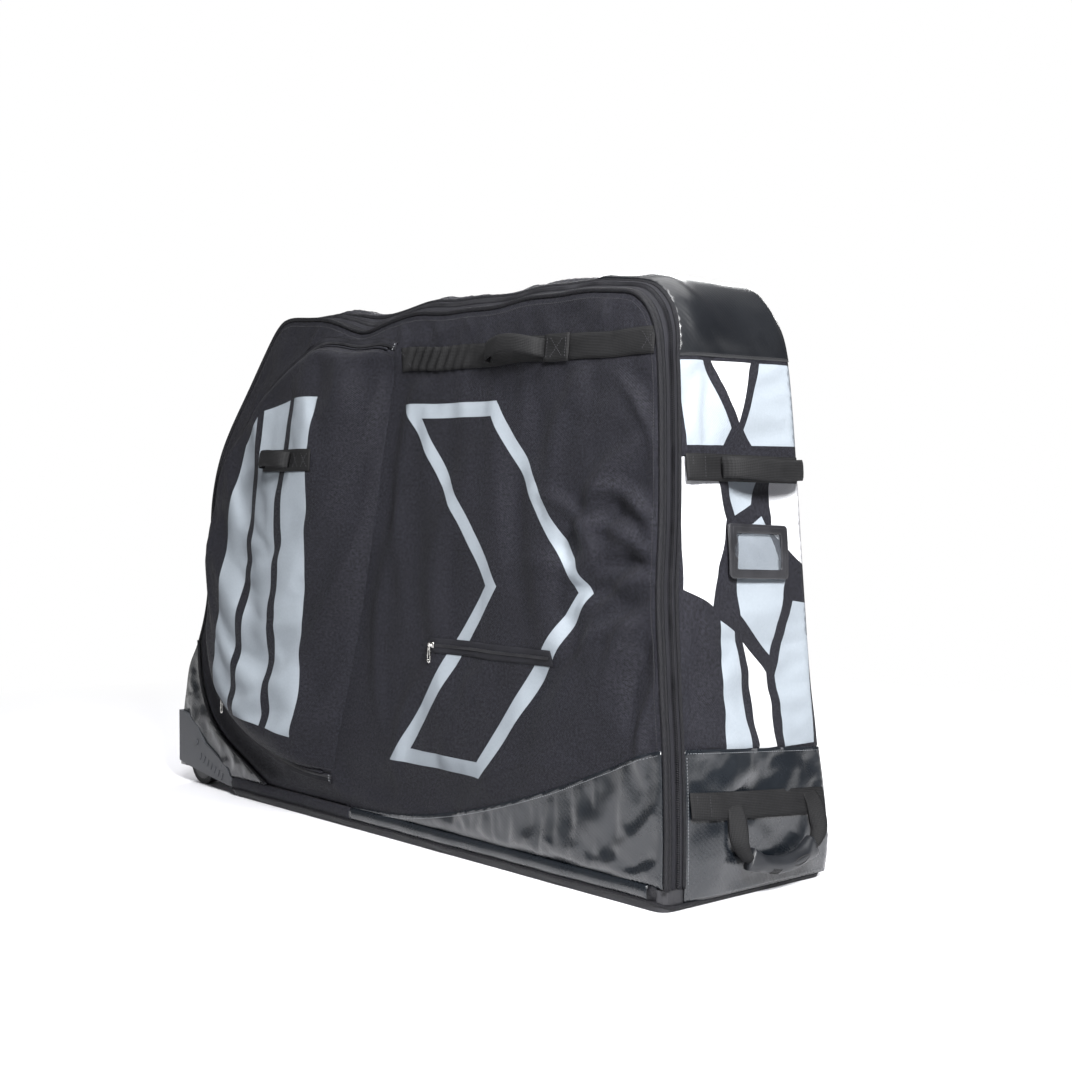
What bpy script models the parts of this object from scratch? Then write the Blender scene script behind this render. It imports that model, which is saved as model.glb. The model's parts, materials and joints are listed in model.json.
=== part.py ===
"""Soft travel bag for a bicycle: a padded fabric shell on a stiff base tray, with two wheels under its low
nose end and a tall square end that carries a grip. The near side is a door that unzips round the outline and
falls open about its bottom edge; a proud wheel pocket on it swings open about a slanted seam.

X runs from the wheel end (-X) to the tall end (+X), Y across the bag (the door is at -Y) and Z up from the
floor. All sizes are metres.
"""

import math

import bmesh
import bpy
from mathutils import Matrix, Vector

# Driving sizes
LENGTH = 1.300
HEIGHT = 0.866
HALF_WIDTH_BASE = 0.168
HALF_WIDTH_TOP = 0.1275
GAP = 0.0003
OVERRUN = 0.010

# Cloth, board and webbing thicknesses
PANEL_THICK = 0.008
GUSSET_THICK = 0.006
COATED_THICK = 0.0015
TAPE_THICK = 0.001
WEBBING_THICK = 0.002
WEBBING_WIDTH = 0.038
PIPING_RADIUS = 0.0035

# Base tray
TRAY_TOP = 0.030
TRAY_WALL = 0.004
TRAY_TO_GUARD = 0.003
TRAY_CORNER = 0.018
TRAY_INSET = 0.002
BOARD_THICK = 0.005
PAD_THICK = 0.012
INSIDE_CLEAR = 0.006

# Main zip, as depths in from the outer face of the door
CHAIN_DEPTH = 0.026
CHAIN_PART = 0.0006
TAPE_WIDTH = 0.0134
TEETH_WIDTH = 0.003
TEETH_THICK = 0.002
ZIP_FOOT = 0.004

# The outline in the XZ plane, one stretch for each sewn piece, from the foot of the tall end over the top and
# down the nose to the wheel end: shares of LENGTH, and of the cloth's height above the tray.
END_KICK_SHARES = ((0.5023, 0.0006), (0.5000, 0.0988), (0.4938, 0.2213))
END_SHARES = ((0.4869, 0.3163), (0.4810, 0.4717), (0.4762, 0.6220), (0.4708, 0.7721), (0.4654, 0.8613))
CAP_SHARES = ((0.4570, 0.9151), (0.4380, 0.9544), (0.4077, 0.9751), (0.3385, 0.9803))
TOP_SHARES = ((0.1923, 0.9731), (0.0385, 0.9731), (-0.0662, 0.9679), (-0.1538, 0.9834), (-0.2208, 0.9952))
NOSE_SHARES = (
    (-0.2520, 0.9952),
    (-0.2720, 0.9824),
    (-0.2954, 0.9474),
    (-0.3450, 0.8553),
    (-0.3946, 0.7632),
    (-0.4215, 0.6938),
    (-0.4362, 0.6125),
    (-0.4385, 0.5228),
    (-0.4423, 0.3863),
    (-0.4615, 0.2931),
)
WHEEL_END_SHARES = ((-0.4846, 0.2332), (-0.4923, 0.1746), (-0.4969, 0.1267), (-0.5000, 0.0138))
SPLINE_STEPS = 2
MITRE_LIMIT_SHARE = 0.5
WELD_DISTANCE = 0.00001

# Door: its lower corner is cut back along the coated patch above the wheel
PATCH_EDGE_SHARES = (
    (-0.4615, 0.2931),
    (-0.4520, 0.2075),
    (-0.4230, 0.1299),
    (-0.3780, 0.0801),
    (-0.3150, 0.0387),
    (-0.2650, 0.0056),
)
PATCH_PART = 0.0006
KICK_EDGE_SHARES = (
    (-0.0615, 0.0056),
    (0.0462, 0.0159),
    (0.1446, 0.0428),
    (0.2362, 0.0791),
    (0.3215, 0.1226),
    (0.4008, 0.1713),
    (0.4608, 0.2086),
    (0.4890, 0.2231),
)
KICK_INSET = 0.009
KICK_FOOT = 0.002

# Carry strap of each side, and its raised loop
STRAP_START_SHARE = 0.0277
STRAP_END_SHARE = 0.4600
STRAP_HEIGHT_SHARE = 0.8864
LOOP_CENTRE_SHARE = 0.2469
LOOP_LENGTH = 0.118
LOOP_RISE = 0.022
LOOP_THICK = 0.003
KEEPER_LENGTH = 0.053
KEEPER_OVER = 0.002
LOOP_STEPS = 10

# Slit pocket zip
SLIT_CENTRE_SHARE = 0.2096
SLIT_HEIGHT_SHARE = 0.3493
SLIT_LENGTH = 0.285
SLIT_TAPE_WIDTH = 0.024
SLIT_CHAIN_WIDTH = 0.005

# Wheel pocket on the door: the ends of its seam, then the rest of its rim, as shares like the outline's
POCKET_SEAM_SHARES = ((-0.0885, 0.0658), (0.0154, 0.9031))
POCKET_RIM_SHARES = (
    (-0.0231, 0.9211),
    (-0.0900, 0.9337),
    (-0.1580, 0.9233),
    (-0.2150, 0.8840),
    (-0.2720, 0.8291),
    (-0.3270, 0.7638),
    (-0.3700, 0.6789),
    (-0.3940, 0.5856),
    (-0.4040, 0.4821),
    (-0.4060, 0.3785),
    (-0.3960, 0.2852),
    (-0.3660, 0.1972),
    (-0.3220, 0.1402),
    (-0.2530, 0.0957),
    (-0.1680, 0.0718),
)
POCKET_PROUD = 0.045
POCKET_WALL = 0.003
POCKET_LIFT = POCKET_WALL + 2 * GAP
POCKET_RAMP = 0.130
POCKET_RAMP_FOOT_SHARE = 0.22
# Each ring of the dish: its size as a share of the rim, and its rise as a share of POCKET_PROUD
POCKET_RING_SHARES = ((1.0, 0.0), (0.970, 0.55), (0.905, 0.84), (0.760, 0.95), (0.450, 1.0))
POCKET_TAPE_WIDTH = 0.012
POCKET_CHAIN_RADIUS = 0.0018
POCKET_STRAP_LENGTH = 0.160
POCKET_STRAP_CENTRE_SHARE = -0.1769
POCKET_STRAP_HEIGHT_SHARE = 0.6950
POCKET_LOOP_LENGTH = 0.090
POCKET_LOOP_SHIFT = -0.026
POCKET_SEAT = 0.0004

# Tall end: straps, loop and tag, their middles as shares of HALF_WIDTH_BASE
END_STRAP_HEIGHT_SHARE = 0.6794
END_STRAP_MARGIN = 0.010
END_LOOP_CENTRE_SHARE = 0.1935
END_LOOP_LENGTH = 0.125
TAG_WIDTH = 0.115
TAG_HEIGHT = 0.075
TAG_CENTRE_SHARE = 0.1905
TAG_BELOW_STRAP = 0.0635
TAG_THICK = 0.0035
TAG_BORDER = 0.012
TAG_NOTCH_RADIUS = 0.011
TAG_WINDOW_THICK = 0.0012
SEAT = 0.0008

# Grip that hangs from the low strap
GRIP_CENTRE_SHARE = 0.2083
GRIP_SPREAD = 0.140
GRIP_OUT = 0.036
GRIP_DROP = 0.098
GRIP_SAG = 0.016
GRIP_LENGTH = 0.124
GRIP_RADIUS = 0.0125
GRIP_END_SHARE = 0.62
GRIP_WEB_WIDTH = 0.028
GRIP_WEB_THICK = 0.003
GRIP_FLOOR_CLEAR = 0.0265
GRIP_STEPS = 12
GRIP_WEB_STEPS = 6

# Wheels and corner guards
WHEEL_RADIUS = 0.042
WHEEL_WIDTH = 0.024
TYRE_THICK = 0.009
WHEEL_FROM_END = 0.054
AXLE_RADIUS = 0.004
AXLE_CLEAR = 0.0004
AXLE_BITE = 0.006
WELL_CLEAR = 0.004
GUARD_LENGTH = 0.196
GUARD_HEIGHT = 0.138
GUARD_WIDTH = 0.062
GUARD_OVERHANG = 0.0039
WHEEL_END_LIFT = 0.0012
GUARD_PROUD = 0.003
# The guard's outline as shares of GUARD_LENGTH from its end and of GUARD_HEIGHT from the floor
GUARD_SHARES = (
    (0.0000, 0.9978),
    (0.1472, 0.9664),
    (0.3462, 0.8189),
    (0.4742, 0.6150),
    (0.6473, 0.5146),
    (0.8974, 0.3408),
    (0.9790, 0.2008),
    (0.9995, 0.1067),
    (0.7243, 0.1450),
    (0.1831, 0.2466),
    (0.0000, 0.2949),
)
GUARD_FOOT_POINT = 6
RIVET_SHARES = (0.3360, 0.6010)
RIVET_RADIUS = 0.0055
RIVET_HEAD = 0.002
RIB_COUNT = 7
RIB_PITCH = 0.013
RIB_LENGTH = 0.013
RIB_THICK = 0.003
RIB_PROUD = 0.0012
RIB_START_SHARES = (0.4180, 0.4150)
RIB_DROP_SHARE = -0.36
RIB_TILT = math.radians(25)
RIB_SINK = 0.002

# Zip sliders and pulls
SLIDER_LENGTH = 0.013
SLIDER_WIDTH = 0.009
SLIDER_THICK = 0.0025
SLIDER_LIFT = 0.0005
PULL_LENGTH = 0.032
PULL_WIDTH = 0.008
PULL_THICK = 0.0014
PULL_TAIL = 0.003
FLAT_PULL_TAIL = PULL_THICK / 2
MAIN_SLIDER_PLACE_SHARES = (0.19, 0.26)
POCKET_SLIDER_PLACE_SHARES = (0.64, 0.72)

# Inside straps
TIE_WIDTH = 0.025
TIE_INSET = 0.021
TIE_PLACE_SHARES = (-0.1923, 0.2462)

CIRCLE_STEPS = 28
RIVET_STEPS = 16
CORNER_STEPS = 4
SHARP_ANGLE = math.radians(35)
POCKET_SHARP_ANGLE = math.radians(60)

LEAN = math.atan((HALF_WIDTH_BASE - HALF_WIDTH_TOP) / HEIGHT)


def half_width(z):
    """Half the bag's width at height z: both sides lean in towards the top."""
    return HALF_WIDTH_BASE - (HALF_WIDTH_BASE - HALF_WIDTH_TOP) * z / HEIGHT


def at_height(share):
    """The height above the floor of a share of the cloth's height above the tray."""
    return TRAY_TOP + share * (HEIGHT - TRAY_TOP)


def sized(shares):
    return [Vector((LENGTH * x, at_height(z))) for x, z in shares]


def smooth(points, steps=SPLINE_STEPS):
    """A Catmull-Rom curve through the points, steps samples to a span."""
    ends = [2 * points[0] - points[1], *points, 2 * points[-1] - points[-2]]
    curve = []
    for a, b, c, d in zip(ends, ends[1:], ends[2:], ends[3:]):
        for i in range(steps):
            t = i / steps
            square = 2 * a - 5 * b + 4 * c - d
            cube = 3 * b - a - 3 * c + d
            curve.append((2 * b + (c - a) * t + square * t**2 + cube * t**3) / 2)
    return [*curve, points[-1].copy()]


def lengths_of(points):
    totals = [0.0]
    for a, b in zip(points, points[1:]):
        totals.append(totals[-1] + (b - a).length)
    return totals


def place_on(points, distance):
    """The point at a distance along the path, and the direction there."""
    totals = lengths_of(points)
    for a, b, start, end in zip(points, points[1:], totals, totals[1:]):
        if distance <= end:
            break
    return a.lerp(b, (distance - start) / (end - start)), (b - a).normalized()


def part_of(points, start, end):
    """The stretch of the path between two distances along it."""
    totals = lengths_of(points)
    inner = [p.copy() for p, at in zip(points, totals) if start + GAP < at < end - GAP]
    return [place_on(points, start)[0], *inner, place_on(points, end)[0]]


def outward(direction):
    return Vector((direction.y, -direction.x))


def moved_out(points, distance, closed=False):
    """The path moved sideways by a distance, to its outer side, with mitred corners."""
    count = len(points)
    moved = []
    for i, p in enumerate(points):
        sides = []
        if closed or i:
            sides.append(outward((p - points[i - 1]).normalized()))
        if closed or i + 1 < count:
            sides.append(outward((points[(i + 1) % count] - p).normalized()))
        bisector = sum(sides, Vector((0, 0))).normalized()
        moved.append(p + bisector * distance / max(bisector.dot(sides[0]), MITRE_LIMIT_SHARE))
    return moved


# The outline, split where one sewn piece meets the next
STRETCHES = {
    "end_kick": END_KICK_SHARES,
    "end": END_SHARES,
    "cap": CAP_SHARES,
    "top": TOP_SHARES,
    "nose": NOSE_SHARES,
    "wheel_end": WHEEL_END_SHARES,
}
outline_points = sized([share for shares in STRETCHES.values() for share in shares])
outline_points[-1].y = GUARD_HEIGHT * GUARD_SHARES[-1][1] + WHEEL_END_LIFT
OUTLINE = smooth(outline_points)
SEAMS = {}
point_count = 0
for stretch_name, stretch_shares in STRETCHES.items():
    point_count += len(stretch_shares)
    SEAMS[stretch_name] = lengths_of(OUTLINE)[(point_count - 1) * SPLINE_STEPS]
STRETCH_STARTS = dict(zip(STRETCHES, [0.0, *SEAMS.values()]))

GUARD_END = OUTLINE[-1].x - GUARD_OVERHANG
TRAY_REAR = GUARD_END + GUARD_LENGTH + TRAY_TO_GUARD
END_STRAP_HEIGHT = at_height(END_STRAP_HEIGHT_SHARE)
LOW_STRAP_HEIGHT = GRIP_FLOOR_CLEAR + GRIP_RADIUS + GRIP_DROP
TAG_CENTRE = HALF_WIDTH_BASE * TAG_CENTRE_SHARE
TAG_LEVEL = END_STRAP_HEIGHT - WEBBING_WIDTH / 2 - TAG_BELOW_STRAP - TAG_HEIGHT / 2


def stretch(first, last=None, trim=GAP):
    """The outline's points from the start of one stretch to the end of another."""
    return part_of(OUTLINE, STRETCH_STARTS[first] + trim, SEAMS[last or first] - trim)


def clear_scene():
    for obj in list(bpy.data.objects):
        bpy.data.objects.remove(obj)


def new_collection(name):
    collection = bpy.data.collections.new(name)
    bpy.context.scene.collection.children.link(collection)
    return collection


clear_scene()
BAG = new_collection("bike_travel_bag")
CUTTERS = new_collection("cutters")


def material(name, colour, roughness, metallic=0.0, alpha=1.0):
    made = bpy.data.materials.new(name)
    made.use_nodes = True
    made.diffuse_color = (*colour, alpha)
    shader = made.node_tree.nodes["Principled BSDF"]
    shader.inputs["Base Color"].default_value = (*colour, 1.0)
    shader.inputs["Roughness"].default_value = roughness
    shader.inputs["Metallic"].default_value = metallic
    shader.inputs["Alpha"].default_value = alpha
    return made


CLOTH = material("woven_cloth", (0.030, 0.030, 0.036), 0.80)
COATED = material("coated_cloth", (0.055, 0.062, 0.070), 0.28)
WEBBING = material("webbing", (0.021, 0.020, 0.018), 0.75)
BINDING = material("piping", (0.018, 0.018, 0.020), 0.55)
ZIP_TAPE = material("zip_tape", (0.022, 0.022, 0.024), 0.75)
ZIP_TEETH = material("zip_teeth", (0.020, 0.020, 0.022), 0.45)
SILVER = material("slider_metal", (0.70, 0.68, 0.64), 0.25, 1.0)
GUARD = material("guard_plastic", (0.062, 0.066, 0.070), 0.45)
BASE = material("base_plastic", (0.015, 0.015, 0.017), 0.50)
BOARD = material("base_board", (0.090, 0.090, 0.095), 0.60)
FOAM = material("floor_foam", (0.045, 0.045, 0.050), 0.90)
RUBBER = material("grip_rubber", (0.090, 0.096, 0.110), 0.60)
TYRE = material("tyre_rubber", (0.025, 0.025, 0.026), 0.70)
HUB = material("hub_plastic", (0.040, 0.040, 0.042), 0.50)
STEEL = material("axle_steel", (0.55, 0.55, 0.56), 0.30, 1.0)
FRAME_PLASTIC = material("tag_plastic", (0.020, 0.020, 0.022), 0.35)
CLEAR = material("tag_window", (0.85, 0.88, 0.90), 0.08, alpha=0.35)


def frame_at(name, location, rotation=(0.0, 0.0, 0.0), parent=None):
    empty = bpy.data.objects.new(name, None)
    empty.location = location
    empty.rotation_euler = rotation
    empty.parent = parent
    BAG.objects.link(empty)
    return empty


def add_object(name, data, shade, parent=None, collection=BAG):
    obj = bpy.data.objects.new(name, data)
    if shade:
        data.materials.append(shade)
    obj.parent = parent
    collection.objects.link(obj)
    return obj


def mesh_from(bm, name, angle=SHARP_ANGLE):
    data = bpy.data.meshes.new(name)
    bm.to_mesh(data)
    bm.free()
    data.shade_smooth()
    data.set_sharp_from_angle(angle=angle)
    return data


def box(name, size, centre, shade, parent=None, rounding=0.0, rotation=(0.0, 0.0, 0.0), collection=BAG):
    """A box of the given size about its centre, with its edges rounded."""
    bm = bmesh.new()
    bmesh.ops.create_cube(bm, size=1.0)
    bmesh.ops.scale(bm, vec=size, verts=bm.verts)
    obj = add_object(name, mesh_from(bm, name), shade, parent, collection)
    obj.location = centre
    obj.rotation_euler = rotation
    if rounding:
        bevel = obj.modifiers.new("edges", "BEVEL")
        bevel.width = rounding
        bevel.segments = 2
    return obj


def cylinder(name, radius, length, centre, shade, parent=None, collection=BAG, steps=CIRCLE_STEPS):
    """A cylinder along Y about its centre."""
    bm = bmesh.new()
    bmesh.ops.create_cone(
        bm,
        cap_ends=True,
        segments=steps,
        radius1=radius,
        radius2=radius,
        depth=length,
        matrix=Matrix.Rotation(math.pi / 2, 4, "X"),
    )
    obj = add_object(name, mesh_from(bm, name), shade, parent, collection)
    obj.location = centre
    return obj


def plate(name, outline, thick, middle, shade, parent=None, collection=BAG):
    """A flat piece with its outline in XZ and its middle plane at Y = middle."""
    curve = bpy.data.curves.new(name, "CURVE")
    curve.dimensions = "2D"
    curve.fill_mode = "BOTH"
    curve.extrude = thick / 2
    spline = curve.splines.new("POLY")
    spline.points.add(len(outline) - 1)
    for point, (x, z) in zip(spline.points, outline):
        point.co = (x, z, 0.0, 1.0)
    spline.use_cyclic_u = True
    obj = add_object(name, curve, shade, parent, collection)
    obj.rotation_euler = (math.pi / 2, 0.0, 0.0)
    obj.location = (0.0, middle, 0.0)
    return obj


def as_mesh(obj):
    """Replaces a curve object by its mesh, with the caps welded on."""
    bpy.context.view_layer.update()
    evaluated = obj.evaluated_get(bpy.context.evaluated_depsgraph_get())
    data = bpy.data.meshes.new_from_object(evaluated)
    bm = bmesh.new()
    bm.from_mesh(data)
    bmesh.ops.remove_doubles(bm, verts=bm.verts, dist=WELD_DISTANCE)
    bm.to_mesh(data)
    bm.free()
    name = obj.name
    holder = obj.users_collection[0]
    parent = obj.parent
    local = obj.matrix_local.copy()
    bpy.data.objects.remove(obj)
    mesh_object = bpy.data.objects.new(name, data)
    mesh_object.parent = parent
    mesh_object.matrix_local = local
    holder.objects.link(mesh_object)
    return mesh_object


def tube(name, points, radius, shade, parent=None, radii=None, resolution=2):
    """A round tube through the points, closed at its ends."""
    curve = bpy.data.curves.new(name, "CURVE")
    curve.dimensions = "3D"
    curve.bevel_depth = radius
    curve.bevel_resolution = resolution
    curve.use_fill_caps = True
    spline = curve.splines.new("POLY")
    spline.points.add(len(points) - 1)
    for i, (point, place) in enumerate(zip(spline.points, points)):
        point.co = (*place, 1.0)
        point.radius = radii[i] if radii else 1.0
    return add_object(name, curve, shade, parent)


def ribbon(name, left, right, thick, shade, parent=None, offset=-1.0):
    """A band between two edges of points, thickened to one side."""
    bm = bmesh.new()
    rows = [(bm.verts.new(a), bm.verts.new(b)) for a, b in zip(left, right)]
    for (a, b), (c, d) in zip(rows, rows[1:]):
        bm.faces.new((a, b, d, c))
    obj = add_object(name, mesh_from(bm, name), shade, parent)
    solidify = obj.modifiers.new("cloth", "SOLIDIFY")
    solidify.thickness = thick
    solidify.offset = offset
    solidify.use_even_offset = True
    return obj


def gusset(name, path, near_depth, shade, thick=GUSSET_THICK):
    """A band along the outline, from near_depth behind the door's face across to the far panel."""
    far_depth = (PANEL_THICK + GAP) / math.cos(LEAN)
    left = [(x, near_depth - half_width(z), z) for x, z in path]
    right = [(x, half_width(z) - far_depth, z) for x, z in path]
    return ribbon(name, left, right, thick, shade)


def cut(obj, cutter):
    cutter.hide_render = True
    cutter.display_type = "WIRE"
    boolean = obj.modifiers.new("cut", "BOOLEAN")
    boolean.operation = "DIFFERENCE"
    boolean.object = cutter
    return obj


def join(obj, added):
    added.hide_render = True
    added.display_type = "WIRE"
    boolean = obj.modifiers.new("join", "BOOLEAN")
    boolean.operation = "UNION"
    boolean.object = added
    return obj


def on_side(points):
    """Outline points as places up the leaning side, measured from the side's bottom edge."""
    return [Vector((p.x, (p.y - TRAY_TOP) / math.cos(LEAN))) for p in points]


def up_side(z):
    return (z - TRAY_TOP) / math.cos(LEAN)


# The two leaning sides. Local X is along the bag, local Z up the side and local Y inward on the near side; the
# far side's local Y points out of the bag.
NEAR = frame_at("near_side", (0.0, -half_width(TRAY_TOP), TRAY_TOP), (-LEAN, 0.0, 0.0))
FAR = frame_at("far_side", (0.0, half_width(TRAY_TOP), TRAY_TOP), (LEAN, 0.0, 0.0))
DOOR = frame_at("door_pivot", (0.0, -half_width(TRAY_TOP), TRAY_TOP), (-LEAN, 0.0, 0.0))

SIDE_FOOT = GAP
GUSSET_NEAR = (CHAIN_DEPTH + CHAIN_PART + TAPE_WIDTH + GAP) / math.cos(LEAN)


def guard_outline(clearance=0.0):
    """The corner guard's outline on the side, grown by a clearance."""
    points = [Vector((GUARD_END + GUARD_LENGTH * x, GUARD_HEIGHT * z)) for x, z in reversed(GUARD_SHARES)]
    return moved_out(points, clearance, closed=True)


def guard_middle(side):
    return side * (HALF_WIDTH_BASE - TRAY_INSET + GUARD_PROUD - GUARD_WIDTH / 2)


def make_guard_clearance(side, label):
    """A cutter round the corner guard, which the cloth pieces are cut back to."""
    width = GUARD_WIDTH + 2 * GAP
    name = f"guard_clearance_{label}"
    return as_mesh(plate(name, guard_outline(GAP), width, guard_middle(side), None, None, CUTTERS))


def make_base():
    front = OUTLINE[0].x - TRAY_INSET
    half = HALF_WIDTH_BASE - TRAY_INSET
    bm = bmesh.new()
    bmesh.ops.create_cube(bm, size=1.0)
    top = max(bm.faces, key=lambda face: face.calc_center_median().z)
    bmesh.ops.delete(bm, geom=[top], context="FACES_ONLY")
    tray_height = TRAY_TOP - GAP
    bmesh.ops.scale(bm, vec=(front - TRAY_REAR, 2 * half, tray_height), verts=bm.verts)
    corners = [
        edge for edge in bm.edges if abs((edge.verts[0].co - edge.verts[1].co).z) > tray_height / 2
    ]
    bmesh.ops.bevel(bm, geom=corners, offset=TRAY_CORNER, segments=CORNER_STEPS, affect="EDGES", profile=0.5)
    tray = add_object("base_tray", mesh_from(bm, "base_tray"), BASE)
    tray.location = ((front + TRAY_REAR) / 2, 0.0, tray_height / 2)
    wall = tray.modifiers.new("wall", "SOLIDIFY")
    wall.thickness = TRAY_WALL
    wall.offset = -1.0
    wall.use_even_offset = True
    length = front - TRAY_REAR - 2 * TRAY_WALL - 2 * INSIDE_CLEAR
    width = 2 * (half - TRAY_WALL - INSIDE_CLEAR)
    middle = (front + TRAY_REAR) / 2
    board_low = TRAY_WALL + GAP
    box("base_board", (length, width, BOARD_THICK), (middle, 0.0, board_low + BOARD_THICK / 2), BOARD)
    pad_low = board_low + BOARD_THICK + GAP
    box("floor_pad", (length, width, PAD_THICK), (middle, 0.0, pad_low + PAD_THICK / 2), FOAM)
    strap_low = pad_low + PAD_THICK + GAP
    for share, label in zip(TIE_PLACE_SHARES, ("rear", "front")):
        size = (TIE_WIDTH, width - 2 * TIE_INSET, WEBBING_THICK)
        box(f"tie_strap_{label}", size, (LENGTH * share, 0.0, strap_low + WEBBING_THICK / 2), WEBBING)


def make_shell(guard_cutters):
    gusset("end_kick_panel", stretch("end_kick"), GUSSET_NEAR, COATED)
    gusset("end_panel", stretch("end"), GUSSET_NEAR, CLOTH)
    gusset("top_cap", stretch("cap"), GUSSET_NEAR, COATED)
    gusset("top_gusset", stretch("top"), GUSSET_NEAR, CLOTH)
    gusset("nose_gusset", stretch("nose"), GUSSET_NEAR, CLOTH)
    near_depth = (PANEL_THICK + GAP) / math.cos(LEAN)
    wheel_panel = gusset("wheel_end_panel", stretch("wheel_end"), near_depth, COATED)
    for cutter in guard_cutters:
        cut(wheel_panel, cutter)
    floor_half = HALF_WIDTH_BASE - TRAY_INSET + GUARD_PROUD - GUARD_WIDTH - GAP
    slope = [Vector((TRAY_REAR - GAP, TRAY_WALL)), Vector((OUTLINE[-1].x + GUSSET_THICK + GAP, OUTLINE[-1].y))]
    left = [(x, floor_half, z) for x, z in slope]
    right = [(x, -floor_half, z) for x, z in slope]
    ribbon("wheel_end_floor", left, right, TRAY_WALL, BASE, offset=1.0)


def inside_guard():
    """The foot of a side piece at the wheel end, behind the corner guard that it is cut back to."""
    return Vector((GUARD_END + GUARD_LENGTH * GUARD_SHARES[GUARD_FOOT_POINT][0] - OVERRUN, TRAY_TOP))


def with_foot(points):
    """Places on the side with none lower than its foot."""
    return [Vector((p.x, max(p.y, SIDE_FOOT))) for p in on_side(points)]


def make_far_side(guard_cutter):
    outline = with_foot([*OUTLINE, inside_guard(), Vector((OUTLINE[0].x, TRAY_TOP))])
    panel = plate("side_panel_far", outline, PANEL_THICK, -PANEL_THICK / 2, CLOTH, FAR)
    cut(as_mesh_with(panel, CLOTH), guard_cutter)
    piping_line = moved_out(stretch("end_kick", "nose"), PIPING_RADIUS + GAP)
    places = [(p.x, -PANEL_THICK / 2, p.y) for p in on_side(piping_line)]
    tube("piping_far", places, PIPING_RADIUS, BINDING, FAR)
    make_strap_and_loop("_far", FAR, 1)


def make_strap_and_loop(label, parent, side):
    """The long strap across a side panel and the hand loop on it, standing out towards side * Y."""
    height = up_side(at_height(STRAP_HEIGHT_SHARE))
    middle = LENGTH * (STRAP_START_SHARE + STRAP_END_SHARE) / 2
    strap_size = (LENGTH * (STRAP_END_SHARE - STRAP_START_SHARE), WEBBING_THICK, WEBBING_WIDTH)
    box(f"carry_strap{label}", strap_size, (middle, side * (GAP + WEBBING_THICK / 2), height), WEBBING, parent)
    seat = WEBBING_THICK + 2 * GAP
    start = LENGTH * LOOP_CENTRE_SHARE - LOOP_LENGTH / 2
    end = start + LOOP_LENGTH
    loop(f"carry_loop{label}", start, end, seat, height, WEBBING, parent, side)
    return end, seat, height


def as_mesh_with(obj, shade):
    mesh_object = as_mesh(obj)
    if not mesh_object.data.materials:
        mesh_object.data.materials.append(shade)
    return mesh_object


def loop(name, start, end, seat, height, shade, parent, side):
    """A raised hand loop along X, seat out from the face, standing LOOP_RISE proud towards side * Y."""
    half = (end - start) / 2
    middle = (start + end) / 2
    left, right = [], []
    for i in range(LOOP_STEPS + 1):
        share = 2 * i / LOOP_STEPS - 1
        x = middle + half * share
        y = side * (seat + LOOP_RISE * (1 - abs(share) ** 3))
        left.append((x, y, height - side * WEBBING_WIDTH / 2))
        right.append((x, y, height + side * WEBBING_WIDTH / 2))
    return ribbon(name, left, right, LOOP_THICK, shade, parent, offset=1.0)


def make_door():
    edge = stretch("end_kick", "nose", 0.0)
    patch = smooth(sized(PATCH_EDGE_SHARES))
    raised = moved_out(patch, -PATCH_PART)
    foot = [Vector((raised[-1].x, TRAY_TOP)), Vector((edge[0].x, TRAY_TOP))]
    outline = with_foot([*edge[:-1], *raised, *foot])
    plate("door_panel", outline, PANEL_THICK, PANEL_THICK / 2, CLOTH, DOOR)
    piping_line = moved_out(stretch("end_kick", "nose"), PIPING_RADIUS + GAP)
    places = [(p.x, PANEL_THICK / 2, p.y) for p in on_side(piping_line)]
    tube("door_piping", places, PIPING_RADIUS, BINDING, DOOR)
    line = on_side(stretch("end_kick", "nose", ZIP_FOOT))
    end = CHAIN_DEPTH - CHAIN_PART
    rise = TEETH_THICK + GAP
    band("main_zip_tape_door", line, PANEL_THICK + GAP, end, 0.0, TAPE_THICK, ZIP_TAPE, DOOR)
    band("main_zip_teeth_door", line, end - TEETH_WIDTH, end, rise, TEETH_THICK, ZIP_TEETH, DOOR)
    make_kick_patch()
    make_carry_strap()
    make_slit_zip()


def band(name, line, near, far, rise, thick, shade, parent):
    """A narrow band along the outline in a side's own frame, between two depths, rise proud of the outline."""
    raised = moved_out(line, rise)
    left = [(x, near, z) for x, z in raised]
    right = [(x, far, z) for x, z in raised]
    return ribbon(name, left, right, thick, shade, parent)


def make_root_zip():
    line = on_side(stretch("end_kick", "nose", ZIP_FOOT))
    start = CHAIN_DEPTH + CHAIN_PART
    rise = TEETH_THICK + GAP
    band("main_zip_tape_root", line, start, start + TAPE_WIDTH, 0.0, TAPE_THICK, ZIP_TAPE, NEAR)
    band("main_zip_teeth_root", line, start, start + TEETH_WIDTH, rise, TEETH_THICK, ZIP_TEETH, NEAR)


def make_kick_patch():
    upper = smooth(sized(KICK_EDGE_SHARES))
    right = Vector((OUTLINE[0].x - KICK_INSET, TRAY_TOP + KICK_FOOT))
    left = Vector((upper[0].x, TRAY_TOP + KICK_FOOT))
    outline = on_side([*upper, right, left])
    plate("door_kick_patch", outline, COATED_THICK, -GAP - COATED_THICK / 2, COATED, DOOR)


def make_carry_strap():
    end, seat, height = make_strap_and_loop("", DOOR, -1)
    size = (KEEPER_LENGTH, LOOP_THICK, WEBBING_WIDTH + KEEPER_OVER)
    place = (end + LOOP_THICK + GAP + KEEPER_LENGTH / 2, -seat - LOOP_THICK / 2, height)
    box("carry_keeper", size, place, WEBBING, DOOR, KEEPER_OVER / 4)


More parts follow.
